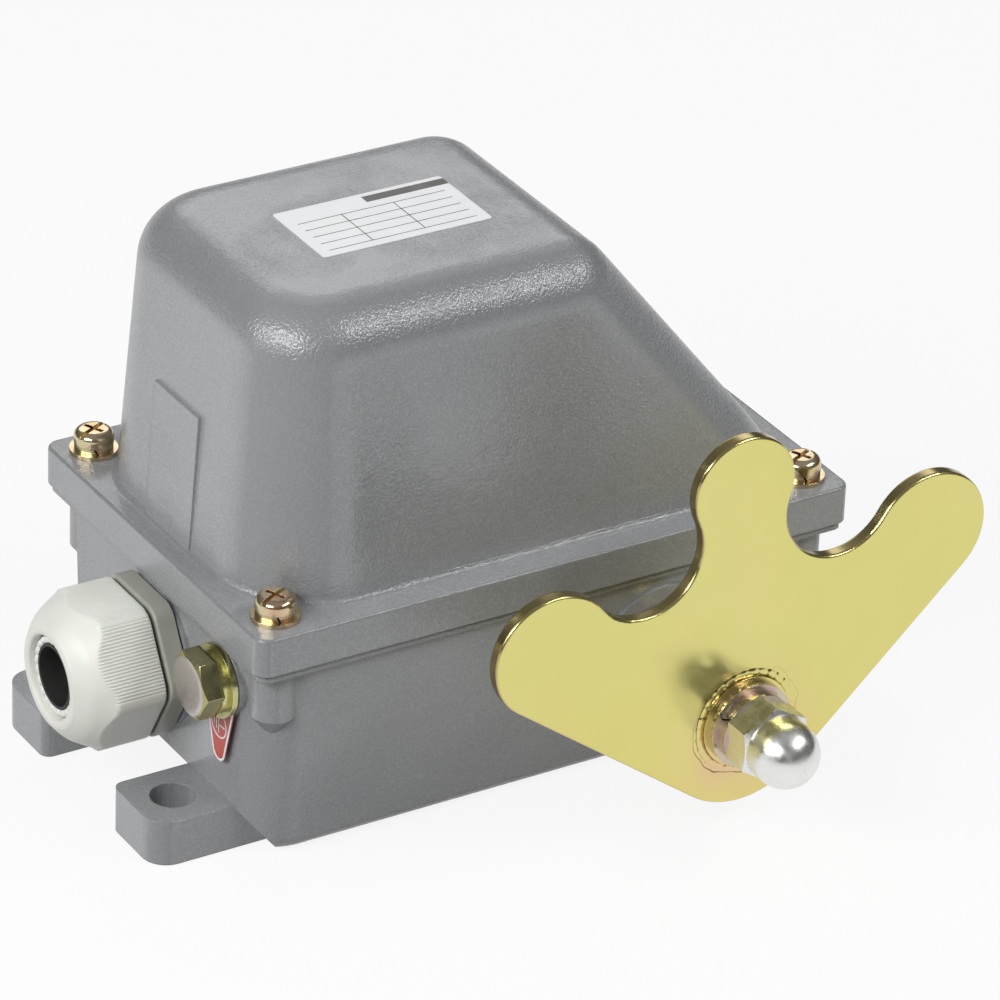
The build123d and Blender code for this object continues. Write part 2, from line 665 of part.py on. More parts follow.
def make_spacers():
    spans = (
        (STACK_START_Y, FRONT_WHEEL_Y),
        (FRONT_WHEEL_Y + WHEEL_W, FRONT_CAM_Y),
        (FRONT_CAM_Y + CAM_W, REAR_CAM_Y),
        (REAR_CAM_Y + CAM_W, STACK_END_Y),
    )
    return [on_shaft(SPACER_D, a, b) - bore_with_keyway(a, b) for a, b in spans]


def make_front_bush():
    bush = on_shaft(BUSH_D, BOSS_FACE_Y + SEAL_T, -BOSS_INNER_Y)
    bush += on_shaft(BUSH_FLANGE_D, -BOSS_INNER_Y, -BOSS_INNER_Y + BUSH_FLANGE_T)
    return bush - on_shaft(SHAFT_D + 2 * RUNNING_FIT, BOSS_FACE_Y, 0)


def make_rear_bush():
    bush = on_shaft(BUSH_D, BOSS_INNER_Y, REAR_BORE_END)
    bush += on_shaft(BUSH_FLANGE_D, BOSS_INNER_Y - BUSH_FLANGE_T, BOSS_INNER_Y)
    return bush - on_shaft(SHAFT_D + 2 * RUNNING_FIT, 0, REAR_BORE_END)


def make_shaft_seal():
    seal = on_shaft(SEAL_D, BOSS_FACE_Y, BOSS_FACE_Y + SEAL_T)
    return seal - on_shaft(SHAFT_D + 2 * SEAL_LIP_GAP, BOSS_FACE_Y, BOSS_FACE_Y + SEAL_T)


# Lever

def arc(centre, radius, start, end):
    """An arc from one angle to another, in degrees, turning the short way through the middle."""
    points = []
    for angle in (start, (start + end) / 2, end):
        a = math.radians(angle)
        points.append((centre[0] + radius * math.cos(a), centre[1] + radius * math.sin(a)))
    return ThreePointArc(*points)


def lever_outline():
    """Three lobes joined by tangent arcs, closed by two straight edges and a round foot."""
    reach = math.hypot(SIDE_X, SIDE_Z)
    aim = math.degrees(math.atan2(SIDE_Z, SIDE_X))
    flank = aim - math.degrees(math.acos((BOTTOM_R - SIDE_R) / reach))
    span = math.hypot(SIDE_X, MIDDLE_Z - SIDE_Z)
    to_middle = MIDDLE_R + NOTCH_R
    to_side = SIDE_R + NOTCH_R
    along = (to_middle ** 2 - to_side ** 2 + span ** 2) / (2 * span)
    lift = math.sqrt(to_middle ** 2 - along ** 2)
    ux = SIDE_X / span
    uz = (SIDE_Z - MIDDLE_Z) / span
    notch = (along * ux - lift * uz, MIDDLE_Z + along * uz + lift * ux)
    side_angle = math.degrees(math.atan2(notch[1] - SIDE_Z, notch[0] - SIDE_X))
    middle_angle = math.degrees(math.atan2(notch[1] - MIDDLE_Z, notch[0]))
    right = [
        arc((SIDE_X, SIDE_Z), SIDE_R, flank, side_angle),
        arc(notch, NOTCH_R, side_angle - 180, middle_angle - 180),
    ]
    left = [edge.mirror(Plane.YZ) for edge in right]
    foot = arc((0, 0), BOTTOM_R, -180 - flank, flank)
    crown = arc((0, MIDDLE_Z), MIDDLE_R, middle_angle, 180 - middle_angle)
    straight = Line(foot @ 1, right[0] @ 0)
    curves = [foot, straight, right[0], right[1], crown, left[1], left[0], straight.mirror(Plane.YZ)]
    return make_face(curves)


def make_lever_plate():
    plate = extrude(Rot(0, 0, LEVER_LEAN) * lever_outline(), PLATE_T)
    plate = fillet(plate.edges().group_by(Axis.Z)[0] + plate.edges().group_by(Axis.Z)[-1], PLATE_EDGE)
    plate -= Pos(0, 0, PLATE_T / 2) * Cylinder(HUB_D / 2, PLATE_T)
    return Location((SHAFT_X, PLATE_FRONT_Y + PLATE_T, SHAFT_Z), FRONTWARD) * plate


def make_lever_hub():
    front = PLATE_FRONT_Y - HUB_PROUD
    hub = on_shaft(HUB_D, front, SHAFT_SHOULDER_Y)
    bore = on_shaft(SQUARE_D, front, SHAFT_SHOULDER_Y) & block(
        SHAFT_X - SQUARE_FLAT / 2, SHAFT_X + SQUARE_FLAT / 2, front, SHAFT_SHOULDER_Y,
        SHAFT_Z - SQUARE_D, SHAFT_Z + SQUARE_D,
    )
    return hub - bore


def make_weld_bead():
    bead = Cone((HUB_D / 2 + WELD_W), HUB_D / 2 + WELD_W / 3, WELD_T) - Cylinder(HUB_D / 2, WELD_T)
    return Location((SHAFT_X, PLATE_FRONT_Y - WELD_T / 2, SHAFT_Z), FRONTWARD) * bead


def make_acorn_nut():
    dome_r = NUT_DOME_D / 2
    dome = Pos(0, 0, (NUT_H - dome_r) / 2) * Cylinder(dome_r, NUT_H - dome_r)
    dome += Pos(0, 0, NUT_H - dome_r) * Sphere(dome_r)
    nut = hex_head(NUT_AF, NUT_HEX_H, FLATS_UP) + (dome & Pos(0, 0, NUT_H / 2) * Cylinder(NUT_H, NUT_H))
    nut -= Pos(0, 0, NUT_BORE_DEPTH / 2) * Cylinder(THREAD_D / 2, NUT_BORE_DEPTH)
    return Location((SHAFT_X, NUT_SEAT_Y, SHAFT_Z), FRONTWARD) * nut


# Cams, detent wheel and contact arms

def turned(x, z, angle):
    """A point of the XZ plane turned about the origin, clockwise as the lever side sees it."""
    a = math.radians(angle)
    return (x * math.cos(a) + z * math.sin(a), -x * math.sin(a) + z * math.cos(a))


def roller_track(angle, rise):
    """The roller centre as the cam sees it, with the lever turned by the angle."""
    arm = -rise * angle * ARM_SWING / LEVER_SWING
    rx, rz = turned(ROLLER_X - PIVOT_X, ROLLER_Z - PIVOT_Z, arm)
    return turned(PIVOT_X + rx - SHAFT_X, PIVOT_Z + rz - SHAFT_Z, -angle)


def cam_outline(rise):
    """The track is the roller's path moved in by its radius and the gap; an arc closes it."""
    track = []
    steps = 12
    last = LEVER_SWING + CAM_MARGIN
    for i in range(steps + 1):
        angle = -last + 2 * last * i / steps
        x0, z0 = roller_track(angle - 0.5, rise)
        x1, z1 = roller_track(angle + 0.5, rise)
        cx, cz = roller_track(angle, rise)
        size = math.hypot(x1 - x0, z1 - z0)
        nx, nz = (z1 - z0) / size, -(x1 - x0) / size
        if nx * cx + nz * cz > 0:
            nx, nz = -nx, -nz
        inward = ROLLER_D / 2 + ROLLER_GAP
        track.append((cx + nx * inward, cz + nz * inward))
    start, end = track[0], track[-1]
    middle = math.radians(ROLLER_ANGLE + 180)
    back = (CAM_MEAN_R * math.cos(middle), CAM_MEAN_R * math.sin(middle))
    return make_face([Spline(*track), ThreePointArc(end, back, start)])


def make_cam(side):
    y0 = FRONT_CAM_Y if side == "front" else REAR_CAM_Y
    rise = 1 if side == "front" else -1
    disc = extrude(cam_outline(rise), CAM_W)
    disc = Location((SHAFT_X, y0 + CAM_W, SHAFT_Z), FRONTWARD) * disc
    return disc - bore_with_keyway(y0, y0 + CAM_W)


def make_detent_wheel():
    y0, y1 = FRONT_WHEEL_Y, FRONT_WHEEL_Y + WHEEL_W
    wheel = on_shaft(WHEEL_D, y0, y1) - bore_with_keyway(y0, y1)
    for angle in (-LEVER_SWING, 0, LEVER_SWING):
        dx, dz = turned(0, -NOTCH_CENTRE_R, angle)
        wheel -= rod_y(2 * (NOTCH_BEAD_R + NOTCH_FIT), y0, y1, SHAFT_X + dx, SHAFT_Z + dz)
    return wheel


def make_detent_leaf():
    y0, y1 = WHEEL_MIDDLE_Y - LEAF_W / 2, WHEEL_MIDDLE_Y + LEAF_W / 2
    leaf = block(SHAFT_X - LEAF_LEFT, SHAFT_X + LEAF_RIGHT, y0, y1, LEAF_Z, LEAF_Z + LEAF_T)
    leaf += rod_y(2 * NOTCH_BEAD_R, y0, y1, SHAFT_X, BEAD_Z)
    return leaf - rod_z(M4_D, LEAF_Z - 1, LEAF_Z + LEAF_T + 1, SHAFT_X + LEAF_SCREW_X, WHEEL_MIDDLE_Y)


def make_contact_arm(side):
    y = CAM_MIDDLES[side]
    hub = Pos(PIVOT_X, PIVOT_Z) * Circle(ARM_HUB_D / 2)
    strut = Line((PIVOT_X, PIVOT_Z), (ROLLER_X, ROLLER_Z))
    finger = Line((PIVOT_X, PIVOT_Z), (TIP_X, TIP_Z))
    outline = hub + SlotCenterToCenter(strut.length, ARM_STRUT).moved(
        Location((strut @ 0.5), (0, 0, 180 - ROLLER_ANGLE))
    )
    lean = Location(finger @ 0.5, (0, 0, 90 - ARM_SWING))
    outline += Rectangle(finger.length + ARM_FINGER_T, ARM_FINGER_T).moved(lean)
    arm = extrude(outline, ARM_W)
    arm = Location((0, y + ARM_W / 2, 0), FRONTWARD) * arm
    slot = (ROLLER_W + 2 * FORK_GAP) / 2
    arm -= rod_y(ROLLER_D + 2 * FORK_CLEAR, y - slot, y + slot, ROLLER_X, ROLLER_Z)
    arm -= rod_y(ROLLER_BORE_D, y - ARM_W, y + ARM_W, ROLLER_X, ROLLER_Z)
    return arm - rod_y(ROD_D + 2 * RUNNING_FIT, y - ARM_W, y + ARM_W, PIVOT_X, PIVOT_Z)


def make_cam_roller(side):
    y0, y1 = CAM_MIDDLES[side] - ROLLER_W / 2, CAM_MIDDLES[side] + ROLLER_W / 2
    roller = rod_y(ROLLER_D, y0, y1, ROLLER_X, ROLLER_Z)
    return roller - rod_y(ROLLER_BORE_D + 2 * RUNNING_FIT, y0, y1, ROLLER_X, ROLLER_Z)


def make_roller_pin(side):
    y = CAM_MIDDLES[side]
    return rod_y(ROLLER_BORE_D, y - ARM_W / 2, y + ARM_W / 2, ROLLER_X, ROLLER_Z)


def make_bridge_contact(side):
    """A strip on the finger's left face with a contact button near each end."""
    bridge = Pos(-ARM_FINGER_T / 2 - BRIDGE_T / 2, 0, 0) * Box(BRIDGE_T, BRIDGE_L, BRIDGE_H)
    for sy in (-1, 1):
        x0 = -ARM_FINGER_T / 2 - BRIDGE_T
        button = rod_x(BUTTON_D, x0 - BUTTON_T, x0, sy * BUTTON_PITCH / 2, 0)
        bridge += fillet(button.edges().sort_by(Axis.X)[0], BUTTON_T / 3)
    return Pos(TIP_X, CAM_MIDDLES[side], TIP_Z) * Rot(0, ARM_SWING, 0) * bridge


def make_arm_spring(side):
    """A torsion spring on the rod beside its arm; one end holds the arm, one rests on the floor."""
    y = CAM_MIDDLES[side]
    toward = 1 if side == "front" else -1
    start_y = y + toward * (ARM_W / 2 + SPRING_ARM_GAP + WIRE_D / 2)
    coil_r = ROD_D / 2 + SPRING_CLEAR + WIRE_D / 2
    pitch = WIRE_D * SPRING_PITCH
    rings = []
    for i in range(SPRING_TURNS):
        ring_y = start_y + toward * i * pitch
        rings.append(Pos(PIVOT_X, ring_y, PIVOT_Z) * Rot(90, 0, 0) * Torus(coil_r, WIRE_D / 2))
    end_y = start_y + toward * (SPRING_TURNS - 1) * pitch
    spring = rings[0] + rings[1:]
    spring += rod_y(WIRE_D, start_y, end_y, PIVOT_X + coil_r, PIVOT_Z)
    spring += rod_z(WIRE_D, CHASSIS_TOP, PIVOT_Z, PIVOT_X + coil_r, end_y)
    hook_x = PIVOT_X - ARM_FINGER_T / 2 - WIRE_D
    hook_z = PIVOT_Z + ARM_HUB_D / 2 + WIRE_D
    spring += rod_z(WIRE_D, PIVOT_Z, hook_z, hook_x, start_y)
    spring += rod_y(WIRE_D, start_y + toward * WIRE_D / 2, y + toward * ARM_W / 4, hook_x, hook_z)
    return spring


# Chassis, contact block and terminals

def button_places():
    ys = []
    for middle in CAM_MIDDLES.values():
        ys += [middle - BUTTON_PITCH / 2, middle + BUTTON_PITCH / 2]
    return ys


def make_chassis():
    y0, y1 = MECH_MIDDLE_Y - BLOCK_W / 2, MECH_MIDDLE_Y + BLOCK_W / 2
    top = BLOCK_TOP + CHASSIS_RISE
    back = CHASSIS_BACK_X - CHASSIS_T
    chassis = block(back, CHASSIS_END_X, y0, y1, CHASSIS_Z, CHASSIS_TOP)
    chassis += block(back, CHASSIS_BACK_X, y0, y1, CHASSIS_Z, top)
    for ear_y in (FRONT_EAR_Y, REAR_EAR_Y):
        ear = block(
            PIVOT_X - EAR_HALF, PIVOT_X + EAR_HALF, ear_y, ear_y + CHASSIS_T,
            CHASSIS_Z, PIVOT_Z + EAR_TOP,
        )
        ear = fillet(ear.edges().filter_by(Axis.Y).group_by(Axis.Z)[-1], EAR_R)
        chassis += ear - rod_y(ROD_D, ear_y, ear_y + CHASSIS_T, PIVOT_X, PIVOT_Z)
    for x, y in pillar_places():
        chassis -= rod_z(M4_D, CHASSIS_Z, CHASSIS_TOP, x, y)
    for y, z in block_screw_places():
        chassis -= rod_x(M4_D, back, CHASSIS_BACK_X, y, z)
    return chassis


def block_screw_places():
    z = BLOCK_TOP - BLOCK_H / 2
    return [(y, z) for y in CAM_MIDDLES.values()]


def make_chassis_screws():
    screw = pan_screw(M4_D, M4_HEAD_D, M4_HEAD_H, M4_CHASSIS)
    return [Pos(x, y, CHASSIS_TOP) * screw for x, y in pillar_places()]


def make_block_screws():
    screw = pan_screw(M4_D, M4_HEAD_D, M4_HEAD_H, M4_LONG)
    back = CHASSIS_BACK_X - CHASSIS_T
    return [Location((back, y, z), LEFTWARD) * screw for y, z in block_screw_places()]


def make_pivot_rod():
    rod = rod_y(ROD_D, rod_front(), rod_rear(), PIVOT_X, PIVOT_Z)
    for y in clip_places():
        ring = rod_y(ROD_D + 2, y, y + CLIP_T, PIVOT_X, PIVOT_Z)
        rod -= ring - rod_y(ROD_D - 2 * GROOVE_DEPTH, y, y + CLIP_T, PIVOT_X, PIVOT_Z)
    return rod


def rod_front():
    return FRONT_EAR_Y - CLIP_GAP - 2 * CLIP_T


def rod_rear():
    return REAR_EAR_Y + CHASSIS_T + CLIP_GAP + 2 * CLIP_T


def clip_places():
    return (FRONT_EAR_Y - CLIP_GAP - CLIP_T, REAR_EAR_Y + CHASSIS_T + CLIP_GAP)


def make_rod_clips():
    clips = []
    for y in clip_places():
        clip = rod_y(CLIP_D, y, y + CLIP_T, PIVOT_X, PIVOT_Z)
        clip -= rod_y(ROD_D - 2 * GROOVE_DEPTH, y, y + CLIP_T, PIVOT_X, PIVOT_Z)
        clip -= block(PIVOT_X, PIVOT_X + CLIP_D, y, y + CLIP_T, PIVOT_Z - ROD_D / 3, PIVOT_Z + ROD_D / 3)
        clips.append(clip)
    return clips


def make_contact_block():
    y0, y1 = MECH_MIDDLE_Y - BLOCK_W / 2, MECH_MIDDLE_Y + BLOCK_W / 2
    body = block(CHASSIS_BACK_X, BLOCK_FACE_X, y0, y1, BLOCK_TOP - BLOCK_H, BLOCK_TOP)
    rib_x = BLOCK_FACE_X - STRIP_RUN
    places = sorted(button_places())
    for low, high in zip(places, places[1:]):
        middle = (low + high) / 2
        half = STRIP_T / 2
        body += block(rib_x, BLOCK_FACE_X, middle - half, middle + half, BLOCK_TOP, BLOCK_TOP + STRIP_W)
    for y in places:
        body -= rod_z(M4_D, BLOCK_TOP - M4_LONG, BLOCK_TOP, BLOCK_FACE_X - TERMINAL_X, y)
    for y, z in block_screw_places():
        body -= rod_x(M4_D, CHASSIS_BACK_X, CHASSIS_BACK_X + M4_LONG - CHASSIS_T, y, z)
    return body


def make_fixed_contacts():
    contacts = []
    for y in button_places():
        y0, y1 = y - STRIP_W / 2, y + STRIP_W / 2
        front = BLOCK_FACE_X + STRIP_T
        contact = block(BLOCK_FACE_X, front, y0, y1, CONTACT_Z - STRIP_W / 2, BLOCK_TOP + STRIP_T)
        contact += block(BLOCK_FACE_X - STRIP_RUN, front, y0, y1, BLOCK_TOP, BLOCK_TOP + STRIP_T)
        contact += rod_x(BUTTON_D, front, front + FIXED_BUTTON_T, y, CONTACT_Z)
        contact -= rod_z(M4_D, BLOCK_TOP, BLOCK_TOP + STRIP_T, BLOCK_FACE_X - TERMINAL_X, y)
        contacts.append(contact)
    return contacts


def make_terminal_washers():
    z = BLOCK_TOP + STRIP_T
    washer = flat_washer(M4_D, M4_WASHER_D, M4_WASHER_T)
    return [Pos(BLOCK_FACE_X - TERMINAL_X, y, z) * washer for y in button_places()]


def make_terminal_screws():
    z = BLOCK_TOP + STRIP_T + M4_WASHER_T
    screw = pan_screw(M4_D, M4_HEAD_D, M4_HEAD_H, M4_TERMINAL)
    return [Pos(BLOCK_FACE_X - TERMINAL_X, y, z) * screw for y in button_places()]


def make_leaf_screw():
    screw = pan_screw(M4_D, M4_HEAD_D, M4_HEAD_H, M4_SHORT)
    return Pos(SHAFT_X + LEAF_SCREW_X, WHEEL_MIDDLE_Y, LEAF_Z + LEAF_T) * screw


# Cable gland, drawn along +Z and turned towards -X

def at_gland(shape, x):
    return Location((x, GLAND_Y, GLAND_Z), LEFTWARD) * shape


def make_gland_body():
    hexa = extrude(hexagon(GLAND_AF, GLAND_HEX_R, FLATS_UP), GLAND_HEX_W)
    hexa = fillet(hexa.edges().group_by(Axis.Z)[-1], GLAND_HEX_EDGE)
    hexa += Pos(0, 0, GLAND_HEX_W + GLAND_NECK_L / 2) * Cylinder(GLAND_NECK_D / 2, GLAND_NECK_L)
    hexa += Pos(0, 0, -GLAND_THREAD_L / 2) * Cylinder(GLAND_THREAD_D / 2, GLAND_THREAD_L)
    hexa -= Cylinder(GLAND_BORE_D / 2, 4 * GLAND_CAP_L)
    return at_gland(hexa, GLAND_HEX_X)


def make_gland_ring():
    return at_gland(flat_washer(GLAND_THREAD_D, GLAND_RING_D, GLAND_RING_T), GLAND_SEAT_X)


def cap_outer():
    """The cap's outside: a rounded hexagon that a turned nose runs into."""
    length = GLAND_CAP_L
    nose_r = GLAND_NOSE_D / 2
    big_r = GLAND_CAP_CORNER_D / 2
    start = (big_r, GLAND_GRIP_L)
    bulge = ((big_r + nose_r) / 2 + SHOULDER_BULGE, (GLAND_GRIP_L + length + SHOULDER_BULGE) / 2)
    profile = [
        Line((0, 0), (big_r, 0)),
        Line((big_r, 0), start),
        ThreePointArc(start, bulge, (nose_r, length)),
        Line((nose_r, length), (0, length)),
        Line((0, length), (0, 0)),
    ]
    turned_form = revolve(Plane.XZ * make_face(profile), Axis.Z)
    return extrude(cap_section(), length) & turned_form


def cap_section():
    """The rounded hexagon, four of its flats cut with fine grooves that run along the cap."""
    section = hexagon(GLAND_AF, GLAND_CAP_R, FLATS_UP)
    groove = Rectangle(2 * GRIP_DEPTH, GRIP_PITCH / 2)
    grooves = []
    for turn in GRIP_FLATS:
        for i in range(GRIP_COUNT):
            side = (i - (GRIP_COUNT - 1) / 2) * GRIP_PITCH
            grooves.append(Rot(0, 0, turn) * Pos(GLAND_AF / 2, side) * groove)
    return section - grooves


def make_gland_cap():
    cap = cap_outer()
    mouth_r = GLAND_MOUTH_D / 2
    neck_room = GLAND_NECK_L - GLAND_CAP_GAP + NECK_CLEAR
    cap -= Pos(0, 0, neck_room / 2) * Cylinder(GLAND_NECK_D / 2, neck_room)
    cone_l = GLAND_CAP_L - neck_room - CAP_LIP
    cap -= Pos(0, 0, neck_room + cone_l / 2) * Cone(GLAND_NECK_D / 2, mouth_r, cone_l)
    cap -= Cylinder(mouth_r, 3 * GLAND_CAP_L)
    rim = cap.edges().group_by(Axis.Z)[-1]
    cap = fillet(rim, CAP_RIM_R)
    return at_gland(cap, CAP_X)


def make_gland_claw():
    """A ring of fingers that close on the seal inside the cap's mouth."""
    neck_end = GLAND_NECK_L - GLAND_CAP_GAP
    tip = GLAND_CAP_L - CLAW_TIP_IN
    outer_r = GLAND_MOUTH_D / 2
    inner_r = GLAND_CABLE_D / 2 + CLAW_CABLE_GAP
    profile = Polygon(
        (GLAND_BORE_D / 2, neck_end), (GLAND_NECK_D / 2 - CLAW_SIDE_GAP, neck_end),
        (outer_r - CLAW_SIDE_GAP / 4, tip - CLAW_TAPER), (outer_r - CLAW_SIDE_GAP, tip),
        (inner_r, tip), (inner_r + CLAW_T, neck_end + CONE_L), align=None,
    )
    claw = revolve(Plane.XZ * profile, Axis.Z)
    depth = tip - neck_end - CLAW_RING_T
    for i in range(CLAW_SLOTS):
        slot = Pos(GLAND_NECK_D / 2, 0, tip) * Box(GLAND_NECK_D, CLAW_SLOT_W, 2 * depth)
        claw -= Rot(0, 0, i * 360 / CLAW_SLOTS) * slot
    return at_gland(claw, CAP_X)


def make_gland_seal():
    neck_end = GLAND_NECK_L - GLAND_CAP_GAP
    tip = GLAND_CAP_L - SEAL_TIP_IN
    inner_r = GLAND_CABLE_D / 2
    profile = Polygon(
        (inner_r, neck_end - CONE_L), (GLAND_BORE_D / 2, neck_end - CONE_L), (GLAND_BORE_D / 2, neck_end),
        (inner_r + SEAL_WALL, neck_end + CONE_L), (inner_r + SEAL_LIP, tip), (inner_r, tip), align=None,
    )
    return at_gland(revolve(Plane.XZ * profile, Axis.Z), CAP_X)


def make_gland_locknut():
    nut = extrude(hexagon(LOCKNUT_AF, turn=FLATS_UP), LOCKNUT_T)
    nut -= Pos(0, 0, LOCKNUT_T / 2) * Cylinder(GLAND_THREAD_D / 2, LOCKNUT_T)
    return Location((LOCKNUT_SEAT_X + LOCKNUT_T, GLAND_Y, GLAND_Z), LEFTWARD) * nut


# Earth bolt, drawn along +Z and turned towards -X

def at_earth(shape, x):
    return Location((x, EARTH_Y, EARTH_Z), LEFTWARD) * shape


def make_earth_tag():
    """A thin teardrop under the washer, its tail hanging down."""
    rounds = Circle(TAG_D / 2).edges() + (Pos(-TAG_TAIL, 0) * Circle(TAG_TAIL_R)).edges()
    outline = make_hull(rounds)
    outline -= Circle(EARTH_D / 2)
    return at_earth(extrude(outline, TAG_T), EARTH_SEAT_X)


def make_earth_bolt():
    seat = EARTH_SEAT_X - TAG_T - EARTH_WASHER_T - EARTH_SPRING_T
    bolt = hex_head(EARTH_AF, EARTH_HEAD_H, FLATS_UP)
    bolt += Pos(0, 0, -EARTH_L / 2) * Cylinder(EARTH_D / 2, EARTH_L)
    return at_earth(bolt, seat)


def make_earth_flat_washer():
    return at_earth(flat_washer(EARTH_D, EARTH_WASHER_D, EARTH_WASHER_T), EARTH_SEAT_X - TAG_T)


def make_earth_spring_washer():
    seat = EARTH_SEAT_X - TAG_T - EARTH_WASHER_T
    return at_earth(spring_washer(EARTH_D, EARTH_SPRING_D, EARTH_SPRING_T, EARTH_SPLIT_TURN), seat)


def on_cover_screws(shape, z):
    return [Pos(x, y, z) * shape for x, y in four_corners(COVER_SCREW_X, COVER_SCREW_Y)]


def make_parts():
    flat = flat_washer(COVER_SCREW_D, COVER_WASHER_D, COVER_WASHER_T)
    spring = spring_washer(COVER_SCREW_D, COVER_SPRING_D, COVER_SPRING_T, COVER_SPLIT_TURN)
    screw = pan_screw(COVER_SCREW_D, COVER_HEAD_D, COVER_HEAD_H, COVER_SCREW_L, COVER_SLOT_TURN)
    spring_z = FLANGE_TOP + COVER_WASHER_T
    lever_seat = PLATE_FRONT_Y - HUB_PROUD
    lever_flat = flat_washer(THREAD_D, LEVER_WASHER_D, LEVER_WASHER_T)
    lever_spring = spring_washer(THREAD_D, LEVER_SPRING_D, LEVER_SPRING_T, LEVER_SPLIT_TURN)
    parts = {
        "base_housing": make_base(),
        "cover": make_cover(),
        "cover_gasket": make_gasket(),
        "cover_screws": on_cover_screws(screw, spring_z + COVER_SPRING_T),
        "cover_spring_washers": on_cover_screws(spring, spring_z),
        "cover_flat_washers": on_cover_screws(flat, FLANGE_TOP),
        "rating_label": make_label(),
        "gland_body": make_gland_body(),
        "gland_sealing_ring": make_gland_ring(),
        "gland_cap": make_gland_cap(),
        "gland_claw": make_gland_claw(),
        "gland_seal": make_gland_seal(),
        "gland_locknut": make_gland_locknut(),
        "earth_bolt": make_earth_bolt(),
        "earth_spring_washer": make_earth_spring_washer(),
        "earth_flat_washer": make_earth_flat_washer(),
        "earth_tag": make_earth_tag(),
        "lever_shaft": make_shaft(),
        "shaft_key": make_key(),
        "shaft_circlips": make_circlips(),
        "shaft_spacers": make_spacers(),
        "front_bush": make_front_bush(),
        "rear_bush": make_rear_bush(),
        "shaft_seal": make_shaft_seal(),
        "lever_plate": make_lever_plate(),
        "lever_hub": make_lever_hub(),
        "lever_weld_bead": make_weld_bead(),
        "lever_flat_washer": Location((SHAFT_X, lever_seat, SHAFT_Z), FRONTWARD) * lever_flat,
        "lever_spring_washer": Location(
            (SHAFT_X, lever_seat - LEVER_WASHER_T, SHAFT_Z), FRONTWARD) * lever_spring,
        "acorn_nut": make_acorn_nut(),
        "detent_wheel": make_detent_wheel(),
        "detent_leaf": make_detent_leaf(),
        "detent_leaf_screw": make_leaf_screw(),
        "chassis_bracket": make_chassis(),
        "chassis_screws": make_chassis_screws(),
        "pivot_rod": make_pivot_rod(),
        "pivot_rod_clips": make_rod_clips(),
        "contact_block": make_contact_block(),
        "contact_block_screws": make_block_screws(),
        "fixed_contacts": make_fixed_contacts(),
        "terminal_washers": make_terminal_washers(),
        "terminal_screws": make_terminal_screws(),
    }
    for side in CAM_MIDDLES:
        parts[side + "_cam"] = make_cam(side)
        parts[side + "_contact_arm"] = make_contact_arm(side)
        parts[side + "_cam_roller"] = make_cam_roller(side)
        parts[side + "_roller_pin"] = make_roller_pin(side)
        parts[side + "_bridge_contact"] = make_bridge_contact(side)
        parts[side + "_arm_spring"] = make_arm_spring(side)
    return parts


def write_parts():
    os.makedirs("parts", exist_ok=True)
    for name, shape in make_parts().items():
        if isinstance(shape, list):
            shape = Compound(children=list(shape))
        export_step(shape, "parts/" + name + ".step")


write_parts()
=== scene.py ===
import json
import math

import bmesh
import bpy
import numpy as np
from mathutils import Matrix, Vector


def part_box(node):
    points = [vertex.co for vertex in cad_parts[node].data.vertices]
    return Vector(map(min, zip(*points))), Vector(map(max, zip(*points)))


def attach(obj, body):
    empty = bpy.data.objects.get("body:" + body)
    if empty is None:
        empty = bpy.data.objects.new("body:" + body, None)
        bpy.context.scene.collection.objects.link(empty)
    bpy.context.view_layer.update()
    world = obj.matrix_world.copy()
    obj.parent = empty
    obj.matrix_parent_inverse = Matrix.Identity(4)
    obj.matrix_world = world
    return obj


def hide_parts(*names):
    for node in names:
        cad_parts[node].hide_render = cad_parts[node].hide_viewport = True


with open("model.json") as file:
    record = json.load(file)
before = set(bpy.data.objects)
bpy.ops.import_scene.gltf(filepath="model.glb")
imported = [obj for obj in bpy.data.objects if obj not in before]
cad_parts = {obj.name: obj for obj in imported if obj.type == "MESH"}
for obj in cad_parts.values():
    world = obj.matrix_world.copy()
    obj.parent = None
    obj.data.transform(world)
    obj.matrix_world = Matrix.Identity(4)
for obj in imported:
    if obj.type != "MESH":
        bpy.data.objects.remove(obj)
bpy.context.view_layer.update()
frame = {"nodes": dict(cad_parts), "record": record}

MM = 0.001
FULL_TURN = 2 * math.pi

# Camera, as a turn about the object, a roll, a shift in its own plane and a distance, in metres
AZIMUTH = -32.1611
ELEVATION = 29.1943
ROLL = 2.372
SHIFT_RIGHT = 0.0166746
SHIFT_UP = 0.0522722
DISTANCE = 1.6957121
FOCAL_PX = 6240.0068
PHOTO_PX = 1000
SENSOR_W = 36.0
VIEW_END = 50.0

# All lengths from here to the lamps are in millimetres

# Middle of the weld's marks on the lever plate
MARKS_X = 33.7
MARKS_Y = -97.6
MARKS_Z = 34.3

# Cable gland's cap, with depths measured from its rear face
GLAND_Y = 0.0
CAP_STEPS = 1440
CAP_HEX_EASE = 0.1         # how much narrower than the solid's flats
CAP_HEX_CORNER = 6.5
CAP_REAR_ROUND = 0.9
CAP_GRIP_START = 1.4
CAP_GRIP_END = 14.4
CAP_LEDGE = 14.9
CAP_NOSE_END = 0.6         # before the nose's tip
CAP_CORNER_R = 22.6
CAP_NOSE_R = 20.9
CAP_NOSE_SLOPE = 0.58
CAP_MOUTH_R = 13.6
CAP_MOUTH_SLOPE = 1.5
CAP_NOSE_BLEND = 2.0
CAP_LEDGE_BLEND = 0.3
RIBBED_FLATS = (0, 1, 3, 4)
RIB_DEPTH = 0.3
RIB_PITCH = 0.9
RIB_REACH = 10.6           # ribs end this far from a flat's middle
RIB_FADE = 0.8
RIB_RUN_IN = 0.6
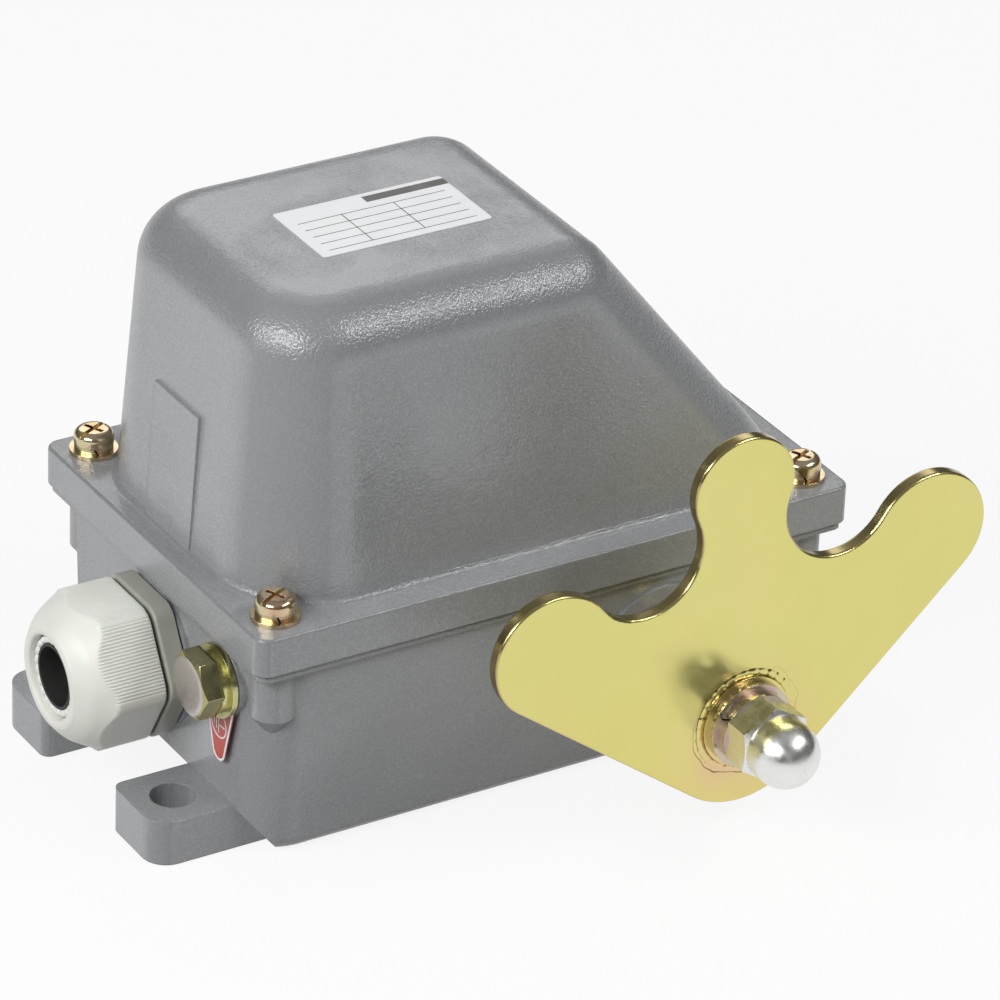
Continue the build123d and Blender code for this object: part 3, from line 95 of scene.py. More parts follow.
MOUTH_RINGS = (            # before the nose's tip, radius
    (0.3, 14.2), (0.1, 13.7), (0.0, 13.1), (0.0, 12.2), (0.15, 11.75),
    (0.5, 11.45), (1.2, 11.35), (3.5, 11.3), (6.0, 11.3),
)

# Claw in the cap's mouth
CLAW_STEPS = 704
CLAW_FINGERS = 22
CLAW_R = 9.95
CLAW_HALF_W = 1.15
CLAW_SINK = 1.5
CLAW_GAP_DEPTH = 0.45
CLAW_TIP_DEPTH = 0.85
CLAW_STRETCH = 1.1
CLAW_ROUNDNESS = 0.45

# Earth bolt's head
HEAD_AF = 16.4
HEAD_CORNER = 0.25
HEAD_FACE_R = 7.8
HEAD_LIFT = 0.6            # above the solid's middle
HEAD_CHAMFER = 30.0        # degrees
HEAD_CHAMFER_BLEND = 0.12
HEAD_FACE_RINGS = (0.02, 3.0, 6.0, HEAD_FACE_R - 0.1)
HEAD_SEAT_R = 3.0

# Weld bead on the plate's front
WELD_R = 15.2
WELD_W = 2.2
WELD_WANDER = 0.25
WELD_LOW = 0.35            # share of the solid's height where the bead is thinnest
WELD_RISE = 0.6

# Label's print, measured in from the label's edges
PRINT_T = 0.02
BAR_LEFT = 25.6
BAR_RIGHT = 0.1
BAR_TOP = 1.7
BAR_FOOT = 4.9
RULE_INSET = 3.2
RULE_W = 0.28
RULE_TOP = 8.2
RULE_PITCH = 4.1
RULE_COUNT = 5
COLUMNS = (16.0, 31.5)

# Earth tag's rim and sign
TAG_TAIL_R = 3.3
TAG_RIM_W = 0.75
TAG_STEPS = 24
MARK_T = 0.05
SIGN_DROP = 13.4           # below the middle of the tag's big round
SIGN_R = 4.0
SIGN_INNER_R = 3.55
STEM_LEFT = 3.0
STEM_RIGHT = 0.1
STROKE_HALF_W = 0.22
SIGN_BARS = ((0.1, 2.6), (1.2, 1.7), (2.3, 0.8))     # place along the stem, half length

# Lamps: direction from the object, distance and size in metres, power in watts
LAMP_AIM = (0.0, 0.0, 0.08)
LAMPS = (
    ("key_left", (-0.75, -0.34, 0.56), 1.1, (0.52, 0.26), 5.8),
    ("side_left", (-0.84, 0.08, 0.42), 1.5, (0.4, 0.6), 6.0),
    ("strip_right", (0.465, -0.53, 0.72), 1.5, (0.9, 0.18), 8.0),
    ("rim_back", (0.35, 0.85, 0.55), 1.8, (1.2, 0.5), 3.2),
)
SKY_STOPS = ((0.0, 0.08), (0.45, 0.15), (1.0, 0.33))     # from below to overhead
SKY_BLUE = 1.02
FLOOR_HALF = 12.0          # metres
FLOOR_DROP = 0.0004
FLOOR_GLOW = 0.88          # how much of the floor's white is its own light

# Shading
SQUARE = (0.93, 0.985)     # flatness at which a round passes into a flat
MIX_FACTOR, MIX_FIRST, MIX_SECOND = 0, 6, 7          # colour sockets of the mix node
MIX_RESULT = 2


def add_object(name, data):
    made = bpy.data.objects.new(name, data)
    bpy.context.collection.objects.link(made)
    return made


def axes_of(azimuth, elevation, roll):
    """The camera's right, up and back directions."""
    a, e, r = (math.radians(v) for v in (azimuth, elevation, roll))
    back = Vector((math.sin(a) * math.cos(e), -math.cos(a) * math.cos(e), math.sin(e)))
    level = Vector((math.cos(a), math.sin(a), 0.0))
    up = back.cross(level)
    right = math.cos(r) * level + math.sin(r) * up
    return right, math.cos(r) * up - math.sin(r) * level, back


def make_camera():
    right, up, back = axes_of(AZIMUTH, ELEVATION, ROLL)
    data = bpy.data.cameras.new("photo_camera")
    data.sensor_width = SENSOR_W
    data.lens = FOCAL_PX / PHOTO_PX * data.sensor_width
    data.clip_end = VIEW_END
    camera = add_object("photo_camera", data)
    place = right * SHIFT_RIGHT + up * SHIFT_UP + back * DISTANCE
    turn = Matrix((right, up, back)).transposed().to_4x4()
    camera.matrix_world = Matrix.Translation(place) @ turn
    bpy.context.scene.camera = camera


class Shade:
    """A material built up from nodes; every colour varies over the surface."""

    def __init__(self, name):
        self.material = bpy.data.materials.new(name)
        self.material.use_nodes = True
        self.tree = self.material.node_tree
        self.bsdf = next(n for n in self.tree.nodes if n.type == "BSDF_PRINCIPLED")
        self.place = self.add("ShaderNodeTexCoord").outputs["Object"]

    def add(self, kind, **settings):
        node = self.tree.nodes.new(kind)
        for key, value in settings.items():
            setattr(node, key, value)
        return node

    def join(self, source, target):
        self.tree.links.new(source, target)

    def give(self, socket, value):
        """Links another node's output to the socket, or sets its value."""
        if isinstance(value, bpy.types.NodeSocket):
            self.join(value, socket)
        else:
            socket.default_value = value

    def stretched(self, scale):
        mapping = self.add("ShaderNodeMapping")
        mapping.inputs["Scale"].default_value = scale
        self.join(self.place, mapping.inputs["Vector"])
        return mapping.outputs["Vector"]

    def noise(self, scale, detail=3.0, roughness=0.5, vector=None):
        node = self.add("ShaderNodeTexNoise")
        for key, value in (("Scale", scale), ("Detail", detail), ("Roughness", roughness)):
            node.inputs[key].default_value = value
        self.join(vector or self.place, node.inputs["Vector"])
        return node.outputs["Fac"]

    def ramp(self, factor, stops):
        node = self.add("ShaderNodeValToRGB")
        elements = node.color_ramp.elements
        while len(elements) < len(stops):
            elements.new(0.5)
        for element, (position, colour) in zip(elements, stops):
            element.position = position
            element.color = (*colour, 1.0)
        self.join(factor, node.inputs["Fac"])
        return node.outputs["Color"]

    def levels(self, factor, low, high, start=0.3, end=0.7):
        """Spreads the factor's span from start to end over the values from low to high."""
        node = self.add("ShaderNodeMapRange")
        node.inputs["From Min"].default_value = start
        node.inputs["From Max"].default_value = end
        node.inputs["To Min"].default_value = low
        node.inputs["To Max"].default_value = high
        self.join(factor, node.inputs["Value"])
        return node.outputs["Result"]

    def mix(self, factor, first, second):
        """Blends two colours, each a node's output or three numbers."""
        node = self.add("ShaderNodeMix", data_type="RGBA", blend_type="MIX")
        self.give(node.inputs[MIX_FACTOR], factor)
        for index, value in ((MIX_FIRST, first), (MIX_SECOND, second)):
            self.give(node.inputs[index], (*value, 1.0) if isinstance(value, tuple) else value)
        return node.outputs[MIX_RESULT]

    def maths(self, operation, first, second=0.0):
        node = self.add("ShaderNodeMath", operation=operation)
        self.give(node.inputs[0], first)
        self.give(node.inputs[1], second)
        return node.outputs[0]

    def times(self, first, second):
        return self.maths("MULTIPLY", first, second)

    def axis(self, letter):
        """The place along one axis, in metres."""
        split = self.add("ShaderNodeSeparateXYZ")
        self.join(self.place, split.inputs[0])
        return split.outputs[letter]

    def flatness(self):
        """How squarely the surface faces along X, Y or Z: 1 where it does."""
        x, y, z = (self.flatness_of(letter) for letter in "XYZ")
        return self.maths("MAXIMUM", self.maths("MAXIMUM", x, y), z)

    def flatness_of(self, letter):
        """How squarely the surface faces along one axis."""
        split = self.add("ShaderNodeSeparateXYZ")
        self.join(self.add("ShaderNodeTexCoord").outputs["Normal"], split.inputs[0])
        return self.maths("ABSOLUTE", split.outputs[letter])

    def away_from(self, point):
        """The distance from a point, in metres."""
        node = self.add("ShaderNodeVectorMath", operation="DISTANCE")
        self.join(self.place, node.inputs[0])
        node.inputs[1].default_value = point
        return node.outputs["Value"]

    def rounded(self, radius):
        node = self.add("ShaderNodeBevel", samples=4)
        node.inputs["Radius"].default_value = radius
        return node.outputs["Normal"]

    def bump(self, height, distance, normal):
        node = self.add("ShaderNodeBump")
        node.inputs["Strength"].default_value = 1.0
        node.inputs["Distance"].default_value = distance
        self.join(height, node.inputs["Height"])
        self.join(normal, node.inputs["Normal"])
        return node.outputs["Normal"]

    def finish(self, colour, roughness, normal=None, **fixed):
        self.join(colour, self.bsdf.inputs["Base Color"])
        self.join(roughness, self.bsdf.inputs["Roughness"])
        if normal is not None:
            self.join(normal, self.bsdf.inputs["Normal"])
        for key, value in fixed.items():
            self.bsdf.inputs[key.replace("_", " ")].default_value = value
        return self.material


def textured_paint(name, dark, light):
    """Glossy hammered paint, lumpier on the rounds than on the flats, with painted shade making the rounds a
    little darker.
    """
    s = Shade(name)
    rounds = s.levels(s.flatness(), 1.0, 0.0, *SQUARE)
    tone = s.levels(s.noise(22.0, 4.0), 0.0, 1.0)
    speck = s.levels(s.noise(1500.0, 2.0), 0.0, 0.5, 0.42, 0.68)
    colour = s.mix(speck, s.mix(tone, dark, light), tuple(v * 1.3 for v in light))
    # Painted shade: the rounds are blended halfway towards a darker grey.
    colour = s.mix(s.times(rounds, 0.5), colour, tuple(v * 0.7 for v in dark))
    patches = s.levels(s.noise(30.0, 3.0), 0.35, 0.9, 0.45, 0.6)
    lumps = s.times(s.noise(1400.0, 2.0, 0.5), s.maths("MAXIMUM", rounds, patches))
    swell = s.noise(300.0, 2.0, 0.5)
    normal = s.bump(swell, 0.00011, s.rounded(0.0006))
    normal = s.bump(lumps, 0.00025, normal)
    rough = s.levels(s.noise(60.0, 3.0), 0.19, 0.25)
    return s.finish(colour, rough, normal, Specular_IOR_Level=0.9)


def plated(name, stops, rough, tint=None, tint_amount=0.5, scale=45.0, scratch=0.000008):
    """Plated steel whose passivation shifts in colour from place to place."""
    s = Shade(name)
    colour = s.ramp(s.noise(scale, 4.0, 0.55), stops)
    if tint:
        patch = s.levels(s.noise(scale * 1.7, 3.0, 0.6), 0.0, tint_amount, 0.48, 0.72)
        colour = s.mix(patch, colour, tint)
    lines = s.noise(180.0, 3.0, 0.6, s.stretched((1.0, 1.0, 14.0)))
    normal = s.bump(lines, scratch, s.rounded(0.0002))
    roughness = s.levels(s.noise(scale * 4.0, 4.0), rough * 0.75, rough * 1.3)
    return s.finish(colour, roughness, normal, Metallic=1.0)


def plastic(name, dark, light, rough, grain=0.000012, sub=0.0):
    """Plain moulded plastic or rubber with a fine grain."""
    s = Shade(name)
    colour = s.mix(s.levels(s.noise(70.0, 4.0), 0.0, 1.0), dark, light)
    normal = s.bump(s.noise(1400.0, 3.0), grain, s.rounded(0.0003))
    roughness = s.levels(s.noise(160.0, 3.0), rough * 0.85, rough * 1.15)
    return s.finish(colour, roughness, normal, Subsurface_Weight=sub, Subsurface_Scale=0.002)


def lever_plate_material():
    """Yellow passivated zinc with golden patches, warmer low down and bronze on the cut edges.

    It turns rose round the weld, up to a fine dark line.
    """
    s = Shade("lever_zinc")
    base = s.ramp(s.noise(16.0, 3.0, 0.5), [
        (0.25, (0.70, 0.625, 0.215)), (0.5, (0.715, 0.66, 0.235)), (0.75, (0.71, 0.675, 0.25)),
    ])
    golden = s.levels(s.noise(26.0, 3.0, 0.55), 0.0, 0.4, 0.5, 0.72)
    base = s.mix(golden, base, (0.79, 0.66, 0.27))
    low = s.levels(s.axis("Z"), 0.8, 0.0, 0.012, 0.06)
    warm = s.mix(s.times(low, s.levels(s.noise(40.0), 0.3, 1.0)), base, (0.73, 0.63, 0.20))
    distance = s.away_from((MARKS_X * MM, MARKS_Y * MM, MARKS_Z * MM))
    near = s.levels(distance, 0.6, 0.0, 0.015, 0.027)
    below = s.levels(s.axis("Z"), 1.0, 0.15, 0.022, 0.040)
    amount = s.times(s.times(near, below), s.levels(s.noise(90.0), 0.4, 1.0))
    rose = s.mix(amount, warm, (0.76, 0.46, 0.36))
    wander = s.times(s.maths("SUBTRACT", s.noise(130.0, 2.0), 0.5), 0.004)
    ragged = s.maths("ABSOLUTE", s.maths("SUBTRACT", s.maths("ADD", distance, wander), 0.0158))
    line = s.levels(ragged, 0.8, 0.0, 0.00008, 0.00022)
    colour = s.mix(s.times(line, below), rose, (0.10, 0.06, 0.04))
    cut_edge = s.levels(s.flatness_of("Y"), 0.85, 0.0, 0.5, 0.97)
    colour = s.mix(cut_edge, colour, (0.40, 0.31, 0.15))
    lines = s.noise(210.0, 3.0, 0.6, s.stretched((1.0, 1.0, 9.0)))
    normal = s.bump(lines, 0.000006, s.rounded(0.0003))
    rough = s.levels(s.noise(120.0, 4.0), 0.17, 0.25)
    return s.finish(colour, rough, normal, Metallic=1.0)


def bolt_material():
    """Passivated zinc that has gone pinkish grey on the bolt's end face and olive on its sides; painted
    shade makes the sides darker than the face.
    """
    s = Shade("bolt_zinc")
    # Painted shade: the olive sides get a darker colour than the end face.
    shaded_olive_sides = s.ramp(s.noise(110.0, 4.0, 0.55), [
        (0.3, (0.34, 0.32, 0.17)), (0.5, (0.44, 0.41, 0.20)), (0.7, (0.50, 0.46, 0.26)),
    ])
    face = s.mix(s.levels(s.noise(160.0, 3.0), 0.0, 1.0), (0.50, 0.47, 0.44), (0.56, 0.50, 0.48))
    on_face = s.levels(s.flatness_of("X"), 0.0, 1.0, *SQUARE)
    colour = s.mix(on_face, shaded_olive_sides, face)
    normal = s.bump(s.noise(300.0, 3.0, 0.6), 0.00002, s.rounded(0.0002))
    return s.finish(colour, s.levels(s.noise(200.0), 0.2, 0.3), normal, Metallic=1.0)


def make_materials():
    grey = (0.260, 0.269, 0.281)
    return {
        "housing_paint": textured_paint("housing_paint", grey, (0.295, 0.302, 0.31)),
        "cover_paint": textured_paint("cover_paint", grey, (0.305, 0.312, 0.32)),
        "black_rubber": plastic("black_rubber", (0.012, 0.012, 0.012), (0.03, 0.03, 0.028), 0.62),
        "bronze_zinc": plated("bronze_zinc", [
            (0.3, (0.60, 0.45, 0.25)), (0.5, (0.68, 0.56, 0.36)), (0.7, (0.60, 0.55, 0.33)),
        ], 0.2, tint=(0.62, 0.36, 0.28), tint_amount=0.7, scale=120.0),
        "yellow_zinc": plated("yellow_zinc", [
            (0.3, (0.46, 0.45, 0.20)), (0.5, (0.58, 0.56, 0.27)), (0.7, (0.55, 0.50, 0.24)),
        ], 0.24, tint=(0.56, 0.46, 0.38), tint_amount=0.4, scale=110.0),
        "rose_zinc": plated("rose_zinc", [
            (0.3, (0.50, 0.44, 0.30)), (0.5, (0.60, 0.54, 0.42)), (0.7, (0.58, 0.46, 0.36)),
        ], 0.24, tint=(0.60, 0.42, 0.40), tint_amount=0.8, scale=110.0),
        "lever_zinc": lever_plate_material(),
        "bright_zinc": plated("bright_zinc", [
            (0.3, (0.74, 0.74, 0.71)), (0.7, (0.84, 0.84, 0.82)),
        ], 0.3, scale=90.0),
        "chassis_zinc": plated("chassis_zinc", [
            (0.3, (0.52, 0.53, 0.53)), (0.7, (0.66, 0.66, 0.63)),
        ], 0.4),
        "ground_steel": plated("ground_steel", [
            (0.3, (0.48, 0.48, 0.49)), (0.7, (0.60, 0.60, 0.60)),
        ], 0.28, scratch=0.00001),
        "spring_steel": plated("spring_steel", [
            (0.3, (0.16, 0.16, 0.18)), (0.7, (0.26, 0.26, 0.27)),
        ], 0.35),
        "cam_roller_steel": plated("cam_roller_steel", [
            (0.3, (0.60, 0.61, 0.62)), (0.7, (0.70, 0.70, 0.70)),
        ], 0.2),
        "bronze_bush": plated("bronze_bush", [
            (0.3, (0.50, 0.31, 0.14)), (0.7, (0.60, 0.40, 0.20)),
        ], 0.45),
        "contact_brass": plated("contact_brass", [
            (0.3, (0.66, 0.48, 0.20)), (0.7, (0.76, 0.60, 0.30)),
        ], 0.3, tint=(0.5, 0.33, 0.2), tint_amount=0.4),
        "label_foil": plastic("label_foil", (0.86, 0.87, 0.88), (0.90, 0.905, 0.91), 0.38, grain=0.000004),
        "tag_red": plastic("tag_red", (0.42, 0.045, 0.03), (0.52, 0.07, 0.045), 0.35),
        "gland_white_plastic": plastic(
            "gland_white_plastic", (0.74, 0.75, 0.69), (0.80, 0.81, 0.75), 0.40, sub=0.12),
        "gland_grey_plastic": plastic(
            "gland_grey_plastic", (0.35, 0.36, 0.31), (0.40, 0.41, 0.36), 0.38),
        "claw_white_plastic": plastic(
            "claw_white_plastic", (0.74, 0.74, 0.71), (0.82, 0.82, 0.80), 0.45, sub=0.1),
        "black_phenolic": plastic("black_phenolic", (0.02, 0.018, 0.016), (0.04, 0.034, 0.03), 0.4),
        "cam_plastic": plastic("cam_plastic", (0.66, 0.62, 0.50), (0.74, 0.71, 0.60), 0.45),
    }


def dress_nodes(materials):
    """Gives every CAD node its slot's material; the lever's two washers have a rosier zinc."""
    slots = {p["node"]: p["material_slot"] for p in frame["record"]["subparts"]}
    slots["lever_flat_washer"] = slots["lever_spring_washer"] = "rose_zinc"
    for name, node in frame["nodes"].items():
        node.data.materials.clear()
        node.data.materials.append(materials[slots[name]])


def new_piece(name, mesh, material, body, replaces=()):
    piece = add_object(name, mesh)
    mesh.materials.append(material)
    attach(piece, body)
    if replaces:
        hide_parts(*replaces)


def grid_mesh(name, rows):
    """A surface from rows of points, each row a closed loop, in millimetres."""
    rows = np.asarray(rows, float) * MM
    count, width = rows.shape[:2]
    mesh = bpy.data.meshes.new(name)
    faces = []
    for i in range(count - 1):
        for j in range(width):
            k = (j + 1) % width
            faces.append((i * width + j, i * width + k, (i + 1) * width + k, (i + 1) * width + j))
    mesh.from_pydata(rows.reshape(-1, 3).tolist(), [], faces)
    mesh.polygons.foreach_set("use_smooth", [True] * len(mesh.polygons))
    mesh.update()
    return mesh


def soft_min(a, b, softness):
    """The smaller of two values, with the change between them rounded."""
    h = np.clip(0.5 + 0.5 * (b - a) / softness, 0.0, 1.0)
    return b * (1 - h) + a * h - softness * h * (1 - h)


def round_angles(steps):
    return np.linspace(0, FULL_TURN, steps, endpoint=False)


def ring(x, y0, z0, radius, angle):
    """A loop of points round an axis along X; the angle is from the -Y side upwards."""
    return np.stack([np.full_like(angle, x), y0 - radius * np.cos(angle), z0 + radius * np.sin(angle)], 1)


def rounded_hexagon(angle, across_flats, corner):
    """The radius at an angle of a hexagon with flats above and below and rounded corners."""
    a = across_flats / 2
    sixth = math.radians(60)
    off = np.abs((angle + sixth / 2) % sixth - sixth / 2)
    flat = a / np.cos(sixth / 2 - off)
    centre = (a - corner) / math.cos(sixth / 2)
    tangent = math.atan2(corner / 2, centre + corner * math.cos(sixth / 2))
    arc = centre * np.cos(off) + np.sqrt(np.maximum(corner ** 2 - (centre * np.sin(off)) ** 2, 0))
    return np.where(off < tangent, arc, flat)


def cap_ribs(angle, hexa):
    """How deep the fine grooves go at each angle; the flats above and below have none."""
    sector = np.floor(angle / math.radians(60)).astype(int)
    middle = np.radians(sector * 60 + 30)
    across = hexa * np.sin(angle - middle)
    ribbed = np.isin(sector, RIBBED_FLATS)
    fade = np.clip((RIB_REACH - np.abs(across)) / RIB_FADE, 0, 1)
    return ribbed * fade * RIB_DEPTH * (0.5 + 0.5 * np.cos(FULL_TURN * across / RIB_PITCH))


def gland_cap_mesh():
    """The gland's cap: a ribbed hexagon grip cut off by a turned nose, with a small ledge at its corners."""
    low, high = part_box("gland_cap")
    rear, nose = high.x / MM, low.x / MM
    z0 = (low.z + high.z) / 2 / MM
    flats = (high.z - low.z) / MM
    length = rear - nose
    angle = round_angles(CAP_STEPS)
    hexa = rounded_hexagon(angle, flats - CAP_HEX_EASE, CAP_HEX_CORNER)
    rib = cap_ribs(angle, hexa)
    rows = []
    for depth in np.concatenate([
        np.linspace(0, CAP_REAR_ROUND, 6),
        np.linspace(CAP_GRIP_START, CAP_GRIP_END, 14),
        np.linspace(CAP_LEDGE, length - CAP_NOSE_END, 40),
    ]):
        start_round = max(0.0, CAP_REAR_ROUND - depth)
        edge = CAP_REAR_ROUND - math.sqrt(max(0.0, CAP_REAR_ROUND ** 2 - start_round ** 2))
        nose_radius = CAP_CORNER_R
        if depth >= CAP_LEDGE:
            nose_radius = soft_min(
                CAP_NOSE_R - CAP_NOSE_SLOPE * (depth - CAP_LEDGE),
                CAP_MOUTH_R + CAP_MOUTH_SLOPE * (length - depth), CAP_NOSE_BLEND)
        grip_radius = hexa - rib * np.clip(depth / RIB_RUN_IN, 0, 1)
        radius = soft_min(grip_radius, np.full_like(hexa, nose_radius), CAP_LEDGE_BLEND) - edge
        rows.append(ring(rear - depth, GLAND_Y, z0, radius, angle))
    for back, radius in MOUTH_RINGS:
        rows.append(ring(rear - (length - back), GLAND_Y, z0, np.full_like(angle, radius), angle))
    return grid_mesh("gland_cap_ribbed", rows)


def claw_mesh():
    """The closed claw in the cap's mouth: a ring of small rounded finger tips."""
    low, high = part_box("gland_claw")
    tip, z0 = low.x / MM, (low.z + high.z) / 2 / MM
    angle = round_angles(CLAW_STEPS)
    wave = np.abs(np.cos(angle * CLAW_FINGERS / 2)) ** CLAW_ROUNDNESS
    tube = CLAW_GAP_DEPTH + CLAW_TIP_DEPTH * wave
    rows = []
    for turn in np.linspace(math.pi, -0.5 * math.pi, 16):
        radius = np.full_like(angle, CLAW_R + CLAW_HALF_W * math.cos(turn))
        x = tip + CLAW_SINK - tube * math.sin(turn) * CLAW_STRETCH
        rows.append(ring(x, GLAND_Y, z0, radius, angle))
    return grid_mesh("gland_claw_tips", rows)


def bolt_head_mesh():
    """The earth bolt's head: a hexagon with its outer corners turned off to a round face."""
    low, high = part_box("earth_bolt")
    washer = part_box("earth_spring_washer")[0]
    face, seat = low.x / MM, washer.x / MM
    y0, z0 = (low.y + high.y) / 2 / MM, (low.z + high.z) / 2 / MM + HEAD_LIFT
    angle = round_angles(720)
    hexa = rounded_hexagon(angle, HEAD_AF, HEAD_CORNER)
    rows = [ring(face, y0, z0, np.full_like(angle, r), angle) for r in HEAD_FACE_RINGS]
    rise = math.tan(math.radians(HEAD_CHAMFER))
    for depth in np.concatenate([np.linspace(0.05, 1.2, 16), np.linspace(1.5, seat - face, 6)]):
        turned = np.full_like(hexa, HEAD_FACE_R + depth / rise)
        rows.append(ring(face + depth, y0, z0, soft_min(hexa, turned, HEAD_CHAMFER_BLEND), angle))
    rows.append(ring(seat, y0, z0, np.full_like(angle, HEAD_SEAT_R), angle))
    return grid_mesh("earth_bolt_head", rows)


def weld_mesh():
    """An uneven weld bead round the hub on the plate's front."""
    low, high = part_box("lever_weld_bead")
    x0, z0 = (low.x + high.x) / 2 / MM, (low.z + high.z) / 2 / MM
    y0 = high.y / MM
    height = (high.y - low.y) / MM
    angle = round_angles(360)
    uneven = (0.5 + 0.25 * np.sin(angle * 31) + 0.15 * np.sin(angle * 13 + 1.0)
              + 0.1 * np.sin(angle * 57 + 2.0))
    rows = []
    for t in np.linspace(0, 1, 9):
        radius = WELD_R - WELD_W * t - WELD_WANDER * (1 - uneven) * (1 - t)
        crown = math.sin(math.pi * (0.08 + 0.84 * t)) ** 0.7
        lift = height * (WELD_LOW + WELD_RISE * uneven) * crown
        rows.append(np.stack([x0 + radius * np.cos(angle), y0 - lift, z0 + radius * np.sin(angle)], 1))
    return grid_mesh("lever_weld_ripples", rows)


def box_mesh(name, spans):
    """Thin flat slabs, each given by its low and high corner in millimetres."""
    bm = bmesh.new()
    for (x0, y0, z0), (x1, y1, z1) in spans:
        made = bmesh.ops.create_cube(bm, size=1.0)
        size = Vector(((x1 - x0), (y1 - y0), (z1 - z0))) * MM
        centre = Vector(((x0 + x1), (y0 + y1), (z0 + z1))) * MM / 2
        for v in made["verts"]:
            v.co = Vector((v.co.x * size.x, v.co.y * size.y, v.co.z * size.z)) + centre
    mesh = bpy.data.meshes.new(name)
    bm.to_mesh(mesh)
    bm.free()
    return mesh


def make_label_print(material):
    """A dark bar and blank ruled fields on the label."""
    low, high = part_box("rating_label")
    x0, x1, y1 = low.x / MM, high.x / MM, high.y / MM
    z0 = high.z / MM
    z1 = z0 + PRINT_T
    spans = [((x0 + BAR_LEFT, y1 - BAR_FOOT, z0), (x1 - BAR_RIGHT, y1 - BAR_TOP, z1))]
    rows = [y1 - RULE_TOP - i * RULE_PITCH for i in range(RULE_COUNT)]
    for y in rows:
        spans.append(((x0 + RULE_INSET, y, z0), (x1 - RULE_INSET, y + RULE_W, z1)))
    for x in (x0 + column for column in COLUMNS):
        spans.append(((x, rows[-1], z0), (x + RULE_W, rows[0], z1)))
    new_piece("label_print", box_mesh("label_print", spans), material, "housing")


def tag_outline(centre_y, top_z, big, tail, small):
    """Points of a teardrop, the tail hanging down from the big round."""
    lean = math.asin((big - small) / tail)
    points = []
    for i in range(TAG_STEPS * 2 + 1):
        a = -lean + (math.pi + 2 * lean) * i / (TAG_STEPS * 2)
        points.append((centre_y + big * math.cos(a), top_z + big * math.sin(a)))
    for i in range(TAG_STEPS + 1):
        a = math.pi + lean + (math.pi - 2 * lean) * i / TAG_STEPS
        points.append((centre_y + small * math.cos(a), top_z - tail + small * math.sin(a)))
    return points


def make_tag_marks(material):
    """The tag's pale rim and its earth sign: a ring, a stem and three bars."""
    low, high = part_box("earth_tag")
    y0 = (low.y + high.y) / 2 / MM
    big = (high.y - low.y) / 2 / MM
    top_z = high.z / MM - big
    tail = top_z - TAG_TAIL_R - low.z / MM
    x = low.x / MM
    outer = tag_outline(y0, top_z, big, tail, TAG_TAIL_R)
    inner = tag_outline(y0, top_z, big - TAG_RIM_W, tail, TAG_TAIL_R - TAG_RIM_W)
    rows = []
    for points, lift in ((outer, 0.0), (outer, MARK_T), (inner, MARK_T), (inner, 0.0)):
        rows.append([(x - lift, y, z) for y, z in points])
    new_piece("earth_tag_rim", grid_mesh("earth_tag_rim", rows), material, "housing")
    sign_z = top_z - SIGN_DROP
    angle = round_angles(64)
    rows = []
    for radius, lift in ((SIGN_R, 0.0), (SIGN_R, MARK_T), (SIGN_INNER_R, MARK_T), (SIGN_INNER_R, 0.0)):
        rows.append(ring(x - lift, y0, sign_z, np.full_like(angle, radius), angle))
    new_piece("earth_sign_ring", grid_mesh("earth_sign_ring", rows), material, "housing")
    w = STROKE_HALF_W
    spans = [((x - MARK_T, y0 - STEM_LEFT, sign_z - w), (x, y0 + STEM_RIGHT, sign_z + w))]
    for shift, half in SIGN_BARS:
        spans.append(((x - MARK_T, y0 + shift - w, sign_z - half), (x, y0 + shift + w, sign_z + half)))
    new_piece("earth_sign_bars", box_mesh("earth_sign_bars", spans), material, "housing")


def make_world():
    """A surround that is bright overhead and falls off towards the horizon."""
    world = bpy.data.worlds.new("surround")
    world.use_nodes = True
    tree = world.node_tree
    split = tree.nodes.new("ShaderNodeSeparateXYZ")
    tree.links.new(tree.nodes.new("ShaderNodeTexCoord").outputs["Generated"], split.inputs[0])
    ramp = tree.nodes.new("ShaderNodeValToRGB")
    elements = ramp.color_ramp.elements
    elements.new(0.5)
    for element, (position, value) in zip(elements, SKY_STOPS):
        element.position = position
        element.color = (value, value, value * SKY_BLUE, 1.0)
    tree.links.new(split.outputs["Z"], ramp.inputs["Fac"])
    tree.links.new(ramp.outputs["Color"], tree.nodes["Background"].inputs["Color"])
    tree.nodes["Background"].inputs["Strength"].default_value = 1.0
    bpy.context.scene.world = world


def make_lights():
    """Lamps at the front left and the left, a narrow one over the front right and a soft one behind."""
    centre = Vector(LAMP_AIM)
    for name, toward, distance, size, power in LAMPS:
        data = bpy.data.lights.new(name, "AREA")
        data.shape = "RECTANGLE"
        data.size, data.size_y = size
        data.energy = power
        lamp = add_object(name, data)
        direction = Vector(toward).normalized()
        lamp.location = centre + direction * distance
        lamp.rotation_euler = direction.to_track_quat("Z", "Y").to_euler()


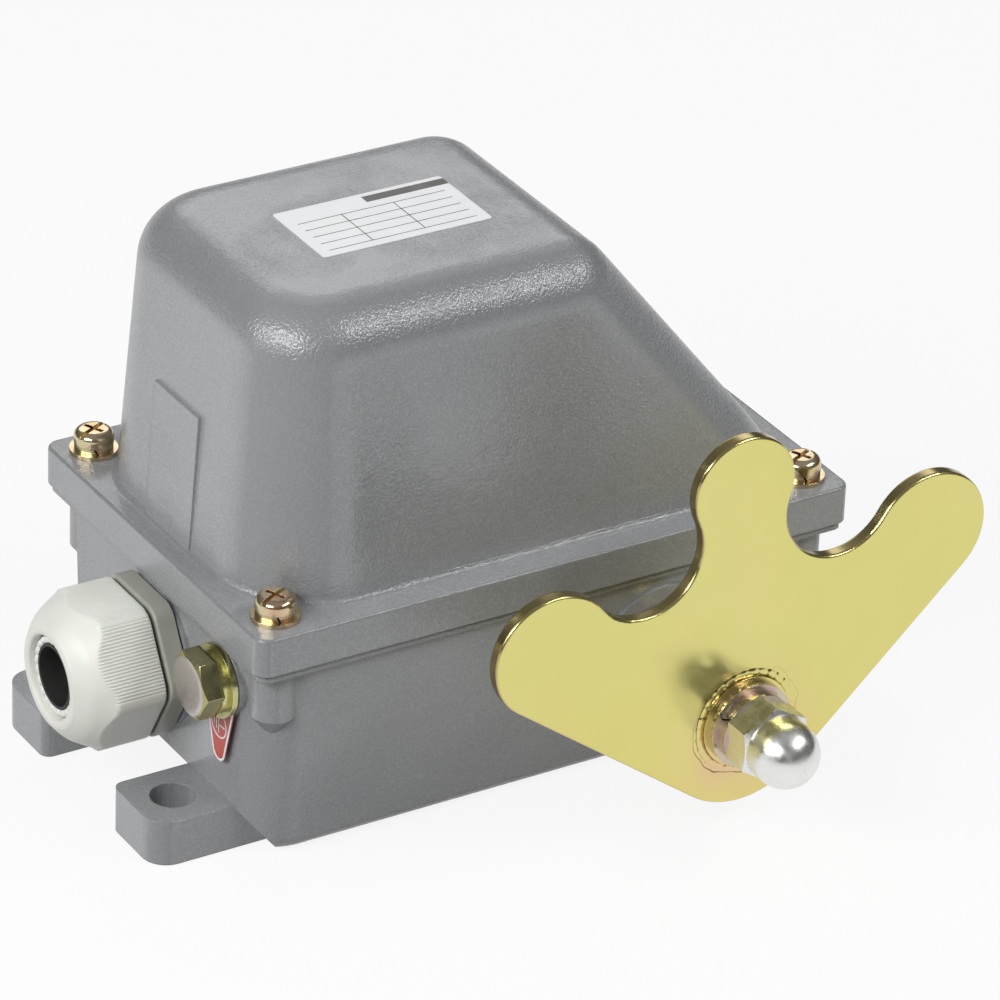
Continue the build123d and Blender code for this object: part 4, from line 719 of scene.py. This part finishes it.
def make_floor():
    """A plain pale floor that keeps the object's shadow.

    It looks white to the camera and in reflections, and throws less light up on the object.
    """
    half = FLOOR_HALF
    corners = [(-half, -half, 0), (half, -half, 0), (half, half, 0), (-half, half, 0)]
    mesh = bpy.data.meshes.new("floor")
    mesh.from_pydata(corners, [], [(0, 1, 2, 3)])
    floor = add_object("floor", mesh)
    floor.location.z = -FLOOR_DROP
    s = Shade("floor_paper")
    light_path = s.add("ShaderNodeLightPath")
    seen = s.maths("MAXIMUM", light_path.outputs["Is Camera Ray"], light_path.outputs["Is Glossy Ray"])
    paper = s.mix(s.levels(s.noise(3.0), 0.0, 1.0), (0.86, 0.86, 0.86), (0.89, 0.89, 0.89))
    colour = s.mix(seen, (0.35, 0.35, 0.345), paper)
    s.finish(colour, s.levels(s.noise(8.0), 0.7, 0.8))
    emission = s.add("ShaderNodeEmission")
    emission.inputs["Color"].default_value = (1.0, 1.0, 1.0, 1.0)
    blend = s.add("ShaderNodeMixShader")
    s.join(s.times(seen, FLOOR_GLOW), blend.inputs[0])
    s.join(s.bsdf.outputs[0], blend.inputs[1])
    s.join(emission.outputs[0], blend.inputs[2])
    output = next(n for n in s.tree.nodes if n.type == "OUTPUT_MATERIAL")
    s.join(blend.outputs[0], output.inputs["Surface"])
    mesh.materials.append(s.material)


def build():
    bpy.context.scene.view_settings.view_transform = "Standard"
    materials = make_materials()
    dress_nodes(materials)
    new_piece("gland_cap_ribbed", gland_cap_mesh(), materials["gland_white_plastic"], "housing",
              ["gland_cap"])
    new_piece("gland_claw_tips", claw_mesh(), materials["claw_white_plastic"], "housing",
              ["gland_claw"])
    new_piece("earth_bolt_head", bolt_head_mesh(), bolt_material(), "housing", ["earth_bolt"])
    new_piece("lever_weld_ripples", weld_mesh(), materials["lever_zinc"], "lever",
              ["lever_weld_bead"])
    make_label_print(plastic("label_ink", (0.10, 0.10, 0.095), (0.14, 0.14, 0.135), 0.4))
    make_tag_marks(materials["label_foil"])
    make_camera()
    make_world()
    make_lights()
    make_floor()


build()
